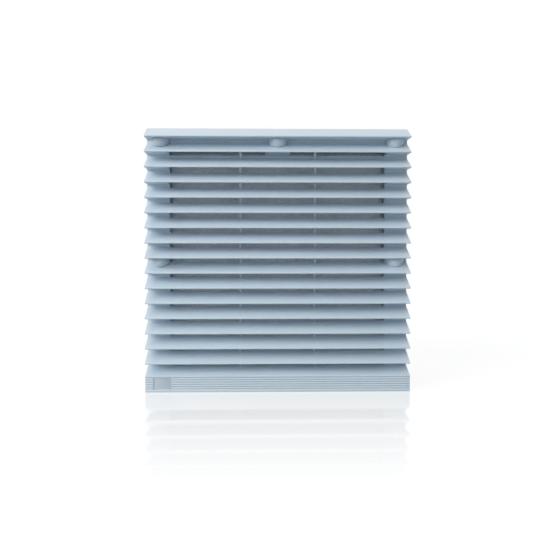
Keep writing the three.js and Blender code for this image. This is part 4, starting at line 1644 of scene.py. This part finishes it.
class FILTERFAN_OT_screws(bpy.types.Operator):
    """Makes all screws"""

    bl_idname = "filterfan.screws"
    bl_label = "Screws"

    def execute(self, context):
        make_screws()
        return {"FINISHED"}


class FILTERFAN_OT_housing(bpy.types.Operator):
    """Makes the fan's casing and motor mount"""

    bl_idname = "filterfan.housing"
    bl_label = "Fan casing"

    def execute(self, context):
        make_housing()
        return {"FINISHED"}


class FILTERFAN_OT_impeller(bpy.types.Operator):
    """Makes the hub and its blades"""

    bl_idname = "filterfan.impeller"
    bl_label = "Fan wheel"

    def execute(self, context):
        make_impeller()
        return {"FINISHED"}


class FILTERFAN_OT_motor(bpy.types.Operator):
    """Makes the turned pieces of the motor"""

    bl_idname = "filterfan.motor"
    bl_label = "Motor"

    def execute(self, context):
        make_motor()
        return {"FINISHED"}


class FILTERFAN_OT_windings(bpy.types.Operator):
    """Makes the coil heads"""

    bl_idname = "filterfan.windings"
    bl_label = "Windings"

    def execute(self, context):
        make_windings()
        return {"FINISHED"}


class FILTERFAN_OT_guard(bpy.types.Operator):
    """Makes the wire guard"""

    bl_idname = "filterfan.guard"
    bl_label = "Wire guard"

    def execute(self, context):
        make_guard()
        return {"FINISHED"}


class FILTERFAN_OT_terminals(bpy.types.Operator):
    """Makes the terminal block, its hood and the lead"""

    bl_idname = "filterfan.terminals"
    bl_label = "Terminals"

    def execute(self, context):
        make_terminals()
        return {"FINISHED"}


class FILTERFAN_OT_finishes(bpy.types.Operator):
    """Gives the remaining frame nodes their finishes"""

    bl_idname = "filterfan.finishes"
    bl_label = "Frame finishes"

    def execute(self, context):
        dress_frame()
        return {"FINISHED"}


OPERATORS = (
    FILTERFAN_OT_stage,
    FILTERFAN_OT_cover,
    FILTERFAN_OT_badge,
    FILTERFAN_OT_caps,
    FILTERFAN_OT_mat,
    FILTERFAN_OT_grid,
    FILTERFAN_OT_base,
    FILTERFAN_OT_gasket,
    FILTERFAN_OT_clips,
    FILTERFAN_OT_screws,
    FILTERFAN_OT_housing,
    FILTERFAN_OT_impeller,
    FILTERFAN_OT_motor,
    FILTERFAN_OT_windings,
    FILTERFAN_OT_guard,
    FILTERFAN_OT_terminals,
    FILTERFAN_OT_finishes,
)


class FILTERFAN_PT_panel(bpy.types.Panel):
    """Lists the steps of the build."""

    bl_idname = "FILTERFAN_PT_panel"
    bl_label = "Filter fan"
    bl_space_type = "VIEW_3D"
    bl_region_type = "UI"
    bl_category = "Filter fan"

    def draw(self, context):
        for step in OPERATORS:
            self.layout.operator(step.bl_idname)


GROUPS = {
    "filter_fan_cover": FILTERFAN_PG_cover,
    "filter_fan_mat": FILTERFAN_PG_mat,
    "filter_fan_fan": FILTERFAN_PG_fan,
    "filter_fan_finish": FILTERFAN_PG_finish,
}


def register():
    for name, group in GROUPS.items():
        bpy.utils.register_class(group)
        setattr(bpy.types.Scene, name, PointerProperty(type=group))
    for made in OPERATORS:
        bpy.utils.register_class(made)
    bpy.utils.register_class(FILTERFAN_PT_panel)


def unregister():
    bpy.utils.unregister_class(FILTERFAN_PT_panel)
    for made in reversed(OPERATORS):
        bpy.utils.unregister_class(made)
    for name, group in reversed(GROUPS.items()):
        delattr(bpy.types.Scene, name)
        bpy.utils.unregister_class(group)


def main():
    register()
    for step in OPERATORS:
        group, name = step.bl_idname.split(".")
        getattr(getattr(bpy.ops, group), name)()


if __name__ == "__main__":
    main()
